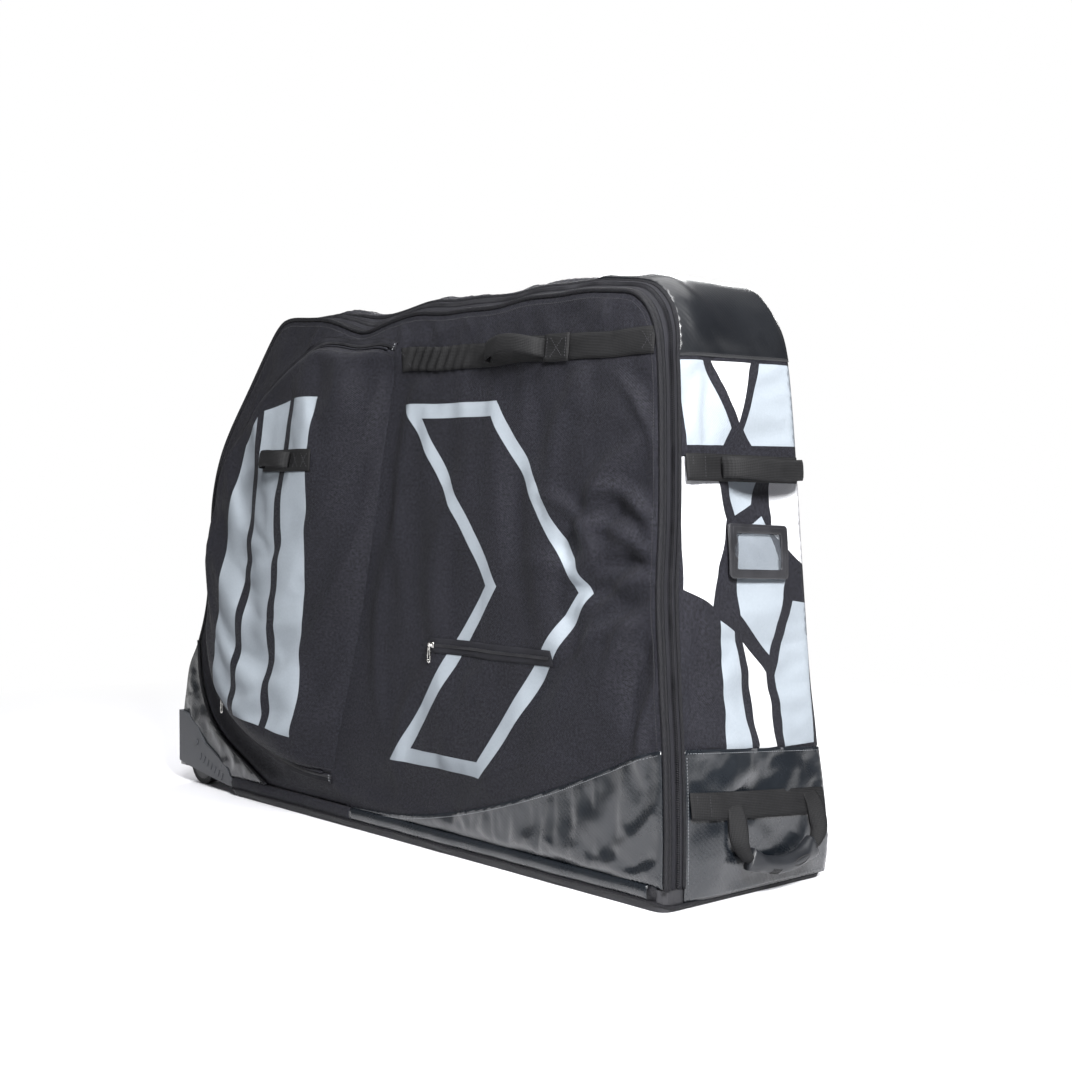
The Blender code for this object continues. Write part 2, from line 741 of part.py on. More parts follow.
def make_slit_zip():
    height = up_side(at_height(SLIT_HEIGHT_SHARE))
    middle = LENGTH * SLIT_CENTRE_SHARE
    tape_size = (SLIT_LENGTH, TAPE_THICK, SLIT_TAPE_WIDTH)
    tape = box("slit_zip", tape_size, (middle, -GAP - TAPE_THICK / 2, height), ZIP_TAPE, DOOR)
    chain_size = (SLIT_LENGTH - SLIT_CHAIN_WIDTH, TEETH_THICK + TAPE_THICK / 2, SLIT_CHAIN_WIDTH)
    chain_place = (middle, -GAP - TAPE_THICK / 2 - chain_size[1] / 2, height)
    join(tape, box("slit_zip_chain", chain_size, chain_place, None, DOOR, collection=CUTTERS))
    out = GAP + TAPE_THICK + TEETH_THICK + SLIDER_LIFT
    x = middle - SLIT_LENGTH / 2 + SLIDER_LENGTH
    pivot = frame_at("slit_slider_frame", (x, -out, height), parent=DOOR)
    slider_and_pull("slit", pivot, 0.0, hangs=True)


def slider_and_pull(label, frame, turn, hangs):
    """A zip slider seated at its frame, turned to lie along the chain, and its pull. -Y of the frame is out of
    the bag. A pull that hangs points down the frame's Z, and one that lies flat points along the frame's X."""
    size = (SLIDER_LENGTH, SLIDER_THICK, SLIDER_WIDTH)
    centre = (0.0, -SLIDER_THICK / 2, 0.0)
    box(f"{label}_slider", size, centre, SILVER, frame, SLIDER_THICK / 4, (0.0, turn, 0.0))
    pull_out = SLIDER_THICK + GAP + PULL_THICK / 2
    pull_frame = frame_at(f"{label}_pull_frame", (0.0, -pull_out, 0.0), parent=frame)
    if hangs:
        size = (PULL_WIDTH, PULL_THICK, PULL_LENGTH)
        centre = (0.0, 0.0, PULL_TAIL - PULL_LENGTH / 2)
    else:
        size = (PULL_LENGTH, PULL_THICK, PULL_WIDTH)
        centre = (PULL_LENGTH / 2 - FLAT_PULL_TAIL, 0.0, 0.0)
    box(f"{label}_pull", size, centre, SILVER, pull_frame, PULL_THICK / 4)


def make_pocket():
    seam = on_side(sized(POCKET_SEAM_SHARES))
    rim = on_side(smooth(sized([POCKET_SEAM_SHARES[1], *POCKET_RIM_SHARES, POCKET_SEAM_SHARES[0]])))
    pivot = frame_at("pocket_pivot", (seam[0].x, 0.0, seam[0].y), parent=DOOR)
    local = [p - seam[0] for p in rim]
    middle = sum(local, Vector((0, 0))) / len(local)
    along = (seam[1] - seam[0]).normalized()
    bm = bmesh.new()
    rings = []
    for size_share, rise_share in POCKET_RING_SHARES:
        ring = []
        for p in local:
            p = middle + (p - middle) * size_share
            from_seam = abs(p.cross(along))
            ramp = min(1.0, POCKET_RAMP_FOOT_SHARE + (1 - POCKET_RAMP_FOOT_SHARE) * from_seam / POCKET_RAMP)
            out = POCKET_LIFT + (POCKET_PROUD - POCKET_LIFT) * rise_share * ramp
            ring.append(bm.verts.new((p.x, -out, p.y)))
        rings.append(ring)
    count = len(local)
    for outer, inner in zip(rings, rings[1:]):
        for i in range(count):
            j = (i + 1) % count
            bm.faces.new((outer[i], outer[j], inner[j], inner[i]))
    bm.faces.new(rings[-1])
    bmesh.ops.recalc_face_normals(bm, faces=bm.faces)
    crown = min(bm.faces, key=lambda face: face.calc_center_median().y)
    if crown.normal.y > 0:
        bmesh.ops.reverse_faces(bm, faces=bm.faces)
    cover = add_object("pocket_cover", mesh_from(bm, "pocket_cover", POCKET_SHARP_ANGLE), CLOTH, pivot)
    wall = cover.modifiers.new("cloth", "SOLIDIFY")
    wall.thickness = POCKET_WALL
    wall.offset = -1.0
    strap_x = LENGTH * POCKET_STRAP_CENTRE_SHARE - seam[0].x
    strap_z = up_side(at_height(POCKET_STRAP_HEIGHT_SHARE)) - seam[0].y
    face_out = POCKET_PROUD + POCKET_SEAT
    strap_size = (POCKET_STRAP_LENGTH, WEBBING_THICK, WEBBING_WIDTH)
    box("pocket_strap", strap_size, (strap_x, -face_out - WEBBING_THICK / 2, strap_z), WEBBING, pivot)
    loop_middle = strap_x + POCKET_LOOP_SHIFT
    start = loop_middle - POCKET_LOOP_LENGTH / 2
    seat = face_out + WEBBING_THICK + GAP
    loop("pocket_loop", start, start + POCKET_LOOP_LENGTH, seat, strap_z, WEBBING, pivot, -1)
    make_pocket_zip(rim)


def make_pocket_zip(rim):
    """The pocket's zip on the door, round all but the seam, with two sliders that meet above the wheel."""
    inner = moved_out(rim, GAP)
    outer = moved_out(rim, POCKET_TAPE_WIDTH)
    left = [(x, -GAP, z) for x, z in inner]
    right = [(x, -GAP, z) for x, z in outer]
    ribbon("pocket_zip_tape", left, right, TAPE_THICK, ZIP_TAPE, DOOR, offset=1.0)
    line = moved_out(rim, POCKET_TAPE_WIDTH / 2)
    chain_out = GAP + TAPE_THICK + GAP + POCKET_CHAIN_RADIUS
    places = [(x, -chain_out, z) for x, z in line]
    tube("pocket_zip_chain", places, POCKET_CHAIN_RADIUS, ZIP_TEETH, DOOR, resolution=1)
    total = lengths_of(line)[-1]
    out = chain_out + POCKET_CHAIN_RADIUS + SLIDER_LIFT
    for label, share in zip(("pocket_upper", "pocket_lower"), POCKET_SLIDER_PLACE_SHARES):
        place, direction = place_on(line, total * share)
        frame = frame_at(f"{label}_frame", (place.x, -out, place.y), parent=DOOR)
        slider_and_pull(label, frame, -math.atan2(direction.y, direction.x), hangs=True)


def make_corner_patches(guard_cutters):
    """The coated patches above the wheels, one each side: the near one fills the door's cut corner."""
    edge = smooth(sized(PATCH_EDGE_SHARES))
    end = stretch("wheel_end")
    outline = with_foot([*reversed(end), *edge[1:], Vector((edge[-1].x, TRAY_TOP)), inside_guard()])
    near = plate("wheel_corner_patch_near", outline, PANEL_THICK, PANEL_THICK / 2, COATED, NEAR)
    cut(as_mesh_with(near, COATED), guard_cutters[0])
    far = plate("wheel_corner_patch_far", outline, COATED_THICK, GAP + COATED_THICK / 2, COATED, FAR)
    cut(as_mesh_with(far, COATED), guard_cutters[1])


def make_wheel(side, label):
    """One corner guard with its axle, wheel and rivet."""
    middle = guard_middle(side)
    guard = as_mesh_with(plate(f"corner_guard_{label}", guard_outline(), GUARD_WIDTH, middle, GUARD), GUARD)
    well_radius = WHEEL_RADIUS + WELL_CLEAR
    well_width = WHEEL_WIDTH + 2 * WELL_CLEAR
    centre = (GUARD_END + WHEEL_FROM_END, middle, WHEEL_RADIUS)
    cut(guard, cylinder(f"wheel_well_{label}", well_radius, well_width, centre, None, None, CUTTERS))
    mouth_size = (2 * well_radius, well_width, WHEEL_RADIUS + OVERRUN)
    mouth_place = (centre[0], middle, (WHEEL_RADIUS - OVERRUN) / 2)
    cut(guard, box(f"well_mouth_{label}", mouth_size, mouth_place, None, collection=CUTTERS))
    axle_length = well_width + 2 * AXLE_BITE
    bore_length = axle_length + 2 * AXLE_CLEAR
    bore_radius = AXLE_RADIUS + AXLE_CLEAR
    cut(guard, cylinder(f"axle_bore_{label}", bore_radius, bore_length, centre, None, None, CUTTERS))
    outer = side * (HALF_WIDTH_BASE - TRAY_INSET + GUARD_PROUD)
    rivet_place = (GUARD_END + GUARD_LENGTH * RIVET_SHARES[0], outer, GUARD_HEIGHT * RIVET_SHARES[1])
    rivet_name = f"guard_rivet_{label}"
    rivet_height = 2 * RIVET_HEAD
    rivet = cylinder(rivet_name, RIVET_RADIUS, rivet_height, rivet_place, None, None, CUTTERS, RIVET_STEPS)
    join(guard, rivet)
    rib_size = (RIB_THICK, RIB_PROUD + RIB_SINK, RIB_LENGTH)
    rib_middle = outer + side * (RIB_PROUD - RIB_SINK) / 2
    for i in range(RIB_COUNT):
        x = GUARD_END + GUARD_LENGTH * RIB_START_SHARES[0] + RIB_PITCH * i
        z = GUARD_HEIGHT * RIB_START_SHARES[1] + RIB_DROP_SHARE * RIB_PITCH * i
        name = f"guard_rib_{label}_{i}"
        turn = (0.0, RIB_TILT, 0.0)
        join(guard, box(name, rib_size, (x, rib_middle, z), None, rotation=turn, collection=CUTTERS))
    cylinder(f"axle_{label}", AXLE_RADIUS, axle_length, centre, STEEL)
    hub_radius = WHEEL_RADIUS - TYRE_THICK
    pivot = frame_at(f"wheel_pivot_{label}", centre)
    hub = cylinder(f"wheel_hub_{label}", hub_radius, WHEEL_WIDTH, (0.0, 0.0, 0.0), HUB, pivot)
    through = WHEEL_WIDTH + OVERRUN
    cut(hub, cylinder(f"hub_bore_{label}", bore_radius, through, centre, None, None, CUTTERS))
    tyre = cylinder(f"wheel_tyre_{label}", WHEEL_RADIUS, WHEEL_WIDTH, (0.0, 0.0, 0.0), TYRE, pivot)
    cut(tyre, cylinder(f"tyre_bore_{label}", hub_radius + GAP, through, centre, None, None, CUTTERS))


def end_place(height):
    """The place on the tall end's outer face at a height, and how far the face tilts from upright."""
    for a, b in zip(OUTLINE, OUTLINE[1:]):
        if b.y >= height:
            break
    place = a.lerp(b, (height - a.y) / (b.y - a.y))
    return place.x, math.atan2(a.x - b.x, b.y - a.y)


def end_box(name, size, height, across, out, shade, rounding=0.0, collection=BAG):
    """A box lying on the tall end: size is (thick, wide, high), out the gap between it and the face."""
    x, tilt = end_place(height)
    reach = out + size[0] / 2
    centre = (x + reach * math.cos(tilt), across, height + reach * math.sin(tilt))
    return box(name, size, centre, shade, None, rounding, (0.0, -tilt, 0.0), collection)


def make_end_fittings():
    near = GUSSET_NEAR
    far = (PANEL_THICK + GAP) / math.cos(LEAN)
    for name, height in (("end_strap_mid", END_STRAP_HEIGHT), ("end_strap_low", LOW_STRAP_HEIGHT)):
        start = near - half_width(height) + END_STRAP_MARGIN
        stop = half_width(height) - far - END_STRAP_MARGIN
        end_box(name, (WEBBING_THICK, stop - start, WEBBING_WIDTH), height, (start + stop) / 2, SEAT, WEBBING)
    x, tilt = end_place(END_STRAP_HEIGHT)
    seat = SEAT + WEBBING_THICK + GAP
    frame = frame_at("end_loop_frame", (x, 0.0, END_STRAP_HEIGHT), (0.0, -tilt, 0.0))
    turned = frame_at("end_loop_turn", (0.0, 0.0, 0.0), (0.0, 0.0, -math.pi / 2), frame)
    start = -HALF_WIDTH_BASE * END_LOOP_CENTRE_SHARE - END_LOOP_LENGTH / 2
    loop("end_loop_mid", start, start + END_LOOP_LENGTH, seat, 0.0, WEBBING, turned, 1)
    make_tag()
    make_grip()


def make_tag():
    size = (TAG_THICK, TAG_WIDTH, TAG_HEIGHT)
    frame = end_box("tag_frame", size, TAG_LEVEL, TAG_CENTRE, SEAT, FRAME_PLASTIC, GAP)
    x, tilt = end_place(TAG_LEVEL)
    reach = SEAT + TAG_THICK / 2
    hole_size = (TAG_THICK + OVERRUN, TAG_WIDTH - 2 * TAG_BORDER, TAG_HEIGHT - 2 * TAG_BORDER)
    hole = end_box("tag_hole", hole_size, TAG_LEVEL, TAG_CENTRE, SEAT - OVERRUN / 2, None, collection=CUTTERS)
    notch = bmesh.new()
    bmesh.ops.create_cone(
        notch,
        cap_ends=True,
        segments=CIRCLE_STEPS,
        radius1=TAG_NOTCH_RADIUS,
        radius2=TAG_NOTCH_RADIUS,
        depth=TAG_THICK + OVERRUN,
        matrix=Matrix.Rotation(math.pi / 2, 4, "Y"),
    )
    notch_object = add_object("tag_notch", mesh_from(notch, "tag_notch"), None, None, CUTTERS)
    edge = TAG_CENTRE - TAG_WIDTH / 2 - TAG_NOTCH_RADIUS / 3
    notch_object.location = (x + reach * math.cos(tilt), edge, TAG_LEVEL + reach * math.sin(tilt))
    notch_object.rotation_euler = (0.0, -tilt, 0.0)
    cut(frame, hole)
    cut(frame, notch_object)
    window = (TAG_WINDOW_THICK, hole_size[1] - 2 * GAP, hole_size[2] - 2 * GAP)
    end_box("tag_window", window, TAG_LEVEL, TAG_CENTRE, SEAT, CLEAR)


def make_grip():
    """A curved rubber grip on two webbing loops, hung from the low strap."""
    x = end_place(LOW_STRAP_HEIGHT)[0] + SEAT + WEBBING_THICK + GRIP_WEB_THICK / 2 + 2 * GAP
    pivot = frame_at("grip_pivot", (x, 0.0, LOW_STRAP_HEIGHT))
    middle = HALF_WIDTH_BASE * GRIP_CENTRE_SHARE
    places, radii = [], []
    for i in range(GRIP_STEPS + 1):
        share = 2 * i / GRIP_STEPS - 1
        sag = GRIP_SAG * (1 - share**2)
        places.append((GRIP_OUT, middle + share * GRIP_LENGTH / 2, -GRIP_DROP + GRIP_SAG - sag))
        radii.append(GRIP_END_SHARE + (1 - GRIP_END_SHARE) * math.sqrt(max(0.0, 1 - share**4)))
    tube("grip_moulding", places, GRIP_RADIUS, RUBBER, pivot, radii, 3)
    for label, end in (("near", -1), ("far", 1)):
        reach = GRIP_LENGTH / 2 + GRIP_WEB_THICK / 2 + 2 * GAP
        target = Vector((GRIP_OUT, middle + end * reach, -GRIP_DROP + GRIP_SAG))
        start = Vector((0.0, middle + end * GRIP_SPREAD / 2, 0.0))
        left, right = [], []
        for i in range(GRIP_WEB_STEPS + 1):
            share = i / GRIP_WEB_STEPS
            bow = math.sin(math.pi * share) * GRIP_WEB_WIDTH / 4
            p = start.lerp(target, share) + Vector((0.0, end * bow, 0.0))
            half = GRIP_WEB_WIDTH / 2 * (1 - share / 2)
            turn = share * math.pi / 2
            side = Vector((math.sin(turn), end * math.cos(turn), 0.0))
            left.append(p - side * half)
            right.append(p + side * half)
        ribbon(f"grip_webbing_{label}", left, right, GRIP_WEB_THICK, WEBBING, pivot, offset=0.0)


def make_main_sliders():
    """Two sliders that meet on the nose slope, over the root half of the chain, each with a pull."""
    nose = stretch("nose")
    total = lengths_of(nose)[-1]
    across = CHAIN_DEPTH + CHAIN_PART + SLIDER_WIDTH / 2
    rise = TEETH_THICK + GAP + SLIDER_LIFT
    for label, share in zip(("main_upper", "main_lower"), MAIN_SLIDER_PLACE_SHARES):
        place, direction = place_on(nose, total * share)
        out = outward(direction)
        spot = place + out * rise
        angle = math.atan2(direction.y, direction.x)
        holder = frame_at(f"{label}_holder", (spot.x, across, up_side(spot.y)), (0.0, -angle, 0.0), NEAR)
        turned = frame_at(f"{label}_frame", (0.0, 0.0, 0.0), (math.pi / 2, 0.0, 0.0), holder)
        slider_and_pull(label, turned, 0.0, hangs=False)


def main():
    cutters = [make_guard_clearance(-1, "near"), make_guard_clearance(1, "far")]
    make_base()
    make_shell(cutters)
    make_far_side(cutters[1])
    make_root_zip()
    make_corner_patches(cutters)
    for side, label in ((-1, "near"), (1, "far")):
        make_wheel(side, label)
    make_end_fittings()
    make_main_sliders()
    make_door()
    make_pocket()


main()
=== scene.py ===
"""The looks of a soft bike travel bag: its cloth, trim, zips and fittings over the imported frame."""

import json
import math

import bpy
import numpy as np
from mathutils import Vector, noise
from mathutils.geometry import delaunay_2d_cdt
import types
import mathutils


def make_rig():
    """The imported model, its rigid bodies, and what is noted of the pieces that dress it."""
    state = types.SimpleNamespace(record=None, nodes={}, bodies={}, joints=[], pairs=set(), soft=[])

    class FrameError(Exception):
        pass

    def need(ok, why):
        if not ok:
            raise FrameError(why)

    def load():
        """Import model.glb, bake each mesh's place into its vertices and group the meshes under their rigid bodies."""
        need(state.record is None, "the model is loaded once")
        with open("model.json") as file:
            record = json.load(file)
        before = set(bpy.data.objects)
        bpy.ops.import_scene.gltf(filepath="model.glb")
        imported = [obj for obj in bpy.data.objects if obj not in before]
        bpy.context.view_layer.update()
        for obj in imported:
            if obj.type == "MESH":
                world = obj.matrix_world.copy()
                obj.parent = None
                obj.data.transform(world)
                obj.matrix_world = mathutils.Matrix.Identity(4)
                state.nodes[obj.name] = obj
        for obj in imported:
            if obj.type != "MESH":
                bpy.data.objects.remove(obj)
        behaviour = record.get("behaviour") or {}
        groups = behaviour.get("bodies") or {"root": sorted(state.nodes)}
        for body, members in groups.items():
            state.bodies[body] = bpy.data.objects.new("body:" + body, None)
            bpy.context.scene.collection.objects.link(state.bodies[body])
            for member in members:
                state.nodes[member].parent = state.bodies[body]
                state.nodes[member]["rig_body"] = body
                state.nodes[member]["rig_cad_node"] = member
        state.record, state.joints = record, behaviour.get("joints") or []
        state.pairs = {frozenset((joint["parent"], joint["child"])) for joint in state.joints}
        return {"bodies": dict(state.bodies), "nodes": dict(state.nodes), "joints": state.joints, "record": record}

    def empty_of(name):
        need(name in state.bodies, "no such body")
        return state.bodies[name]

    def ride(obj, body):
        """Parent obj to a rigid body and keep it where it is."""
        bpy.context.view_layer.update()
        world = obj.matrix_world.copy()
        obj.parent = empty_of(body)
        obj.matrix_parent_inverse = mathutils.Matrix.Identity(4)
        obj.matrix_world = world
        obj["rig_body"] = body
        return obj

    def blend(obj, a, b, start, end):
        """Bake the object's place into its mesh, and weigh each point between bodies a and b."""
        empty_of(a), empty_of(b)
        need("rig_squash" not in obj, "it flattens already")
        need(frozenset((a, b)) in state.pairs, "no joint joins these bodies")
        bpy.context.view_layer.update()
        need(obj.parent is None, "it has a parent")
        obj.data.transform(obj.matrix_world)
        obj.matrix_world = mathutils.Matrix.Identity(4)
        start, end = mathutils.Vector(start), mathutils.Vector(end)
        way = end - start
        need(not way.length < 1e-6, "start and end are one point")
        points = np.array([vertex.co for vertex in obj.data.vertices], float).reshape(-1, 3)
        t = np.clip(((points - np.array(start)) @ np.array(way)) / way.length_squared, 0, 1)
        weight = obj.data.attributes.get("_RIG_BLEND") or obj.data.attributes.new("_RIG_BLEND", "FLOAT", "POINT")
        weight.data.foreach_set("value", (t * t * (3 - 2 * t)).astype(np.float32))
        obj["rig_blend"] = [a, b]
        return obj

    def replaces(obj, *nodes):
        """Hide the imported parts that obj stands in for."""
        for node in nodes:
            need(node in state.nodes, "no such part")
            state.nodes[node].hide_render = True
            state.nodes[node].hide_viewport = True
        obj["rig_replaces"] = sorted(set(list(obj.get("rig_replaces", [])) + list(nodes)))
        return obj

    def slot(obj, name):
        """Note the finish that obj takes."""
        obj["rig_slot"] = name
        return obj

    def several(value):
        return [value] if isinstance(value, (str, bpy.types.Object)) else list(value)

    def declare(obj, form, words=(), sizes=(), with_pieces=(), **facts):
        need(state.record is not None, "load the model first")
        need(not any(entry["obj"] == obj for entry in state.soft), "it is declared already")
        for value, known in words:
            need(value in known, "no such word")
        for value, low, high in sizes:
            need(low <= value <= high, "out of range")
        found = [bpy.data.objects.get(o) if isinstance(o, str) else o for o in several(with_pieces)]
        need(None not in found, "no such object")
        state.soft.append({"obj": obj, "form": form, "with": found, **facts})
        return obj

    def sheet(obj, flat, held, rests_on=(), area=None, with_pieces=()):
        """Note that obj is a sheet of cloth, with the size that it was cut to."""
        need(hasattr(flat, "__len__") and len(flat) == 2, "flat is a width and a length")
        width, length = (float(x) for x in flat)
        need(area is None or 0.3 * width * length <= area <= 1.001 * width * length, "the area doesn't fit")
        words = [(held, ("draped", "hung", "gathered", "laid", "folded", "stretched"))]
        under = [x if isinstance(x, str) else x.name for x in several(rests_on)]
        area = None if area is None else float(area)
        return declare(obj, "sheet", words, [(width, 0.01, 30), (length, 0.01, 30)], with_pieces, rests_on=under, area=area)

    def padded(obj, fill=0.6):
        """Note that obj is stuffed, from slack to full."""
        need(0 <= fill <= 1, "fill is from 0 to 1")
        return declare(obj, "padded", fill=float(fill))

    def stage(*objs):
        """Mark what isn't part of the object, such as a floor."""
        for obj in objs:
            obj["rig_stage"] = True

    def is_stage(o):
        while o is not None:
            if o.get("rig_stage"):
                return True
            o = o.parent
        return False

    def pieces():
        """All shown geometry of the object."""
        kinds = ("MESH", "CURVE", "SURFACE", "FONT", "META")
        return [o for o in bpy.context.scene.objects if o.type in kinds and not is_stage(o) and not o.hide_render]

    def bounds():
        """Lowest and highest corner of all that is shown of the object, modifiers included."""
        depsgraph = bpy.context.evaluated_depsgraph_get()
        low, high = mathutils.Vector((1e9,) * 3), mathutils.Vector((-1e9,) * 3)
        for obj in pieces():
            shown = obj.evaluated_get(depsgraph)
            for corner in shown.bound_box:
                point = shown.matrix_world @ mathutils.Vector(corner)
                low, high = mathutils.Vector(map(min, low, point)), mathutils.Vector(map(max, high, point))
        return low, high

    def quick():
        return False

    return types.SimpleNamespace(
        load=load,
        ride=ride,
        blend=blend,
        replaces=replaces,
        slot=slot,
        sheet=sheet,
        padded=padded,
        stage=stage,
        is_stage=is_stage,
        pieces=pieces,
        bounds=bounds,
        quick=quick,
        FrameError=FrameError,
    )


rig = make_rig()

bl_info = {
    "name": "Soft bike travel bag",
    "version": (1, 0, 0),
    "blender": (4, 5, 0),
    "location": "View3D > Sidebar > Travel bag",
    "description": "Builds the cloth, trim, zips and fittings of a soft bike travel bag",
    "category": "Object",
}

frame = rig.load()
CAD_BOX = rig.bounds()

# Finishes, their shared effects and the cloths' surfaces, filled as the steps run
MATERIALS, GROUPS, FIELDS = {}, {}, {}

# The bag's measures, in metres
LENGTH = 1.300
HEIGHT = 0.866
HALF_WIDTH_BASE = 0.168
HALF_WIDTH_TOP = 0.1275
TRAY_TOP = 0.030
LEAN = math.atan((HALF_WIDTH_BASE - HALF_WIDTH_TOP) / HEIGHT)
GUSSET_NEAR = 0.0386
GUSSET_FAR = 0.0040
POCKET_RAMP = 0.130
DOOR_FOOT = 0.001
STRAP_X = (0.036, 0.598)

# Small parts: blocks as (along, across, up), thicknesses, cord radii, heights above the cloth and tapers
STITCH = (0.0026, 0.0007, 0.0007)
MAIN_TOOTH = (0.0018, 0.0030, 0.0032)
POCKET_TOOTH, POCKET_TOOTH_PITCH = (0.0016, 0.0048, 0.0020), 0.0024
SLIT_TOOTH, SLIT_TOOTH_PITCH = (0.0014, 0.0045, 0.0016), 0.0022
GRIP_SLOT = (0.0120, 0.0016, 0.0022)
POCKET_CLOTH, SHELL_PADDING, SHELL_CLOTH, CUSHION = 0.0018, 0.005, 0.0012, 0.0100
TAG_RIM, TAG_PANE = 0.0042, 0.0005
SMALL_CORD, LIP_CORD, BINDING_CORD = 0.0034, 0.0021, 0.0016
STITCH_RISE, TACK_RISE, CROSS_RISE, KEEPER_RISE = 0.0004, 0.0030, 0.0034, 0.0072
KICK_RISE, STRAP_RISE, END_RISE = 0.0014, 0.0006, 0.0045
ZIP_END = 0.004
TAPER, TEETH_TAPER = 0.7, 0.8

# How much further down the far end of each seam or strap on the tall end lies, across the span below
END_TILT = {"kick": 0.022, "mid": 0.006, "low": 0.022}
TILT_SPAN = 0.26

# The outline in shares of the length and of the height above the tray, split at its seams
STRETCHES = {
    "end_kick": ((0.5023, 0.0006), (0.5000, 0.0988), (0.4938, 0.2213)),
    "end": ((0.4869, 0.3163), (0.4810, 0.4717), (0.4762, 0.6220), (0.4708, 0.7721), (0.4654, 0.8613)),
    "cap": ((0.4570, 0.9151), (0.4380, 0.9544), (0.4077, 0.9751), (0.3385, 0.9803)),
    "top": ((0.1923, 0.9731), (0.0385, 0.9731), (-0.0662, 0.9679), (-0.1538, 0.9834), (-0.2208, 0.9952)),
    "nose": (
        (-0.2520, 0.9952), (-0.2720, 0.9824), (-0.2954, 0.9474), (-0.3450, 0.8553), (-0.3946, 0.7632),
        (-0.4215, 0.6938), (-0.4362, 0.6125), (-0.4385, 0.5228), (-0.4423, 0.3863), (-0.4615, 0.2931),
    ),
    "wheel_end": ((-0.4846, 0.2332), (-0.4923, 0.1746), (-0.4969, 0.1267), (-0.5000, 0.0142)),
}
PATCH_EDGE = (
    (-0.4615, 0.2931), (-0.4520, 0.2075), (-0.4230, 0.1299), (-0.3780, 0.0801), (-0.3150, 0.0387),
    (-0.2650, 0.0056),
)
KICK_EDGE = (
    (-0.0615, 0.0056), (0.0462, 0.0159), (0.1446, 0.0428), (0.2362, 0.0791), (0.3215, 0.1226),
    (0.4008, 0.1713), (0.4608, 0.2086), (0.4890, 0.2231),
)
POCKET_RIM = (
    (0.0154, 0.9031), (-0.0231, 0.9211), (-0.0900, 0.9337), (-0.1580, 0.9233), (-0.2150, 0.8840),
    (-0.2720, 0.8291), (-0.3270, 0.7638), (-0.3700, 0.6789), (-0.3940, 0.5856), (-0.4040, 0.4821),
    (-0.4060, 0.3785), (-0.3960, 0.2852), (-0.3660, 0.1972), (-0.3220, 0.1402), (-0.2530, 0.0957),
    (-0.1680, 0.0718), (-0.0885, 0.0658),
)

# Prints in x and z: the open arrow, the bars on the pocket, and fields on the tall end in z and y
ARROW = ((0.04, 0.70), (0.27, 0.70), (0.49, 0.42), (0.27, 0.13), (0.04, 0.13), (0.26, 0.42))
BARS = (
    ((-0.455, 0.20), (-0.385, 0.165), (-0.345, 0.69), (-0.395, 0.64), (-0.435, 0.50)),
    ((-0.365, 0.160), (-0.285, 0.150), (-0.245, 0.715), (-0.325, 0.700)),
    ((-0.265, 0.148), (-0.195, 0.140), (-0.155, 0.720), (-0.225, 0.717)),
)
FACETS = (
    (2, ((0.745, -0.034), (0.745, 0.046), (0.660, 0.012))),
    (1, ((0.745, -0.098), (0.745, -0.052), (0.652, -0.004), (0.628, -0.020), (0.628, -0.088))),
    (1, ((0.745, 0.064), (0.745, 0.130), (0.628, 0.136), (0.628, 0.040), (0.650, 0.022))),
    (2, ((0.612, -0.104), (0.612, -0.046), (0.525, -0.014), (0.405, -0.052), (0.430, -0.098))),
    (1, ((0.612, -0.028), (0.612, 0.058), (0.545, 0.034), (0.530, 0.002))),
    (2, ((0.612, 0.076), (0.612, 0.138), (0.455, 0.144), (0.505, 0.072))),
    (1, ((0.500, 0.002), (0.528, 0.052), (0.440, 0.106), (0.330, 0.062), (0.390, 0.000))),
    (1, ((0.385, -0.042), (0.368, -0.012), (0.204, 0.012), (0.204, -0.036))),
    (2, ((0.352, 0.006), (0.306, 0.052), (0.200, 0.066), (0.200, 0.028))),
    (1, ((0.405, 0.114), (0.300, 0.072), (0.198, 0.084), (0.198, 0.146), (0.400, 0.148))),
)

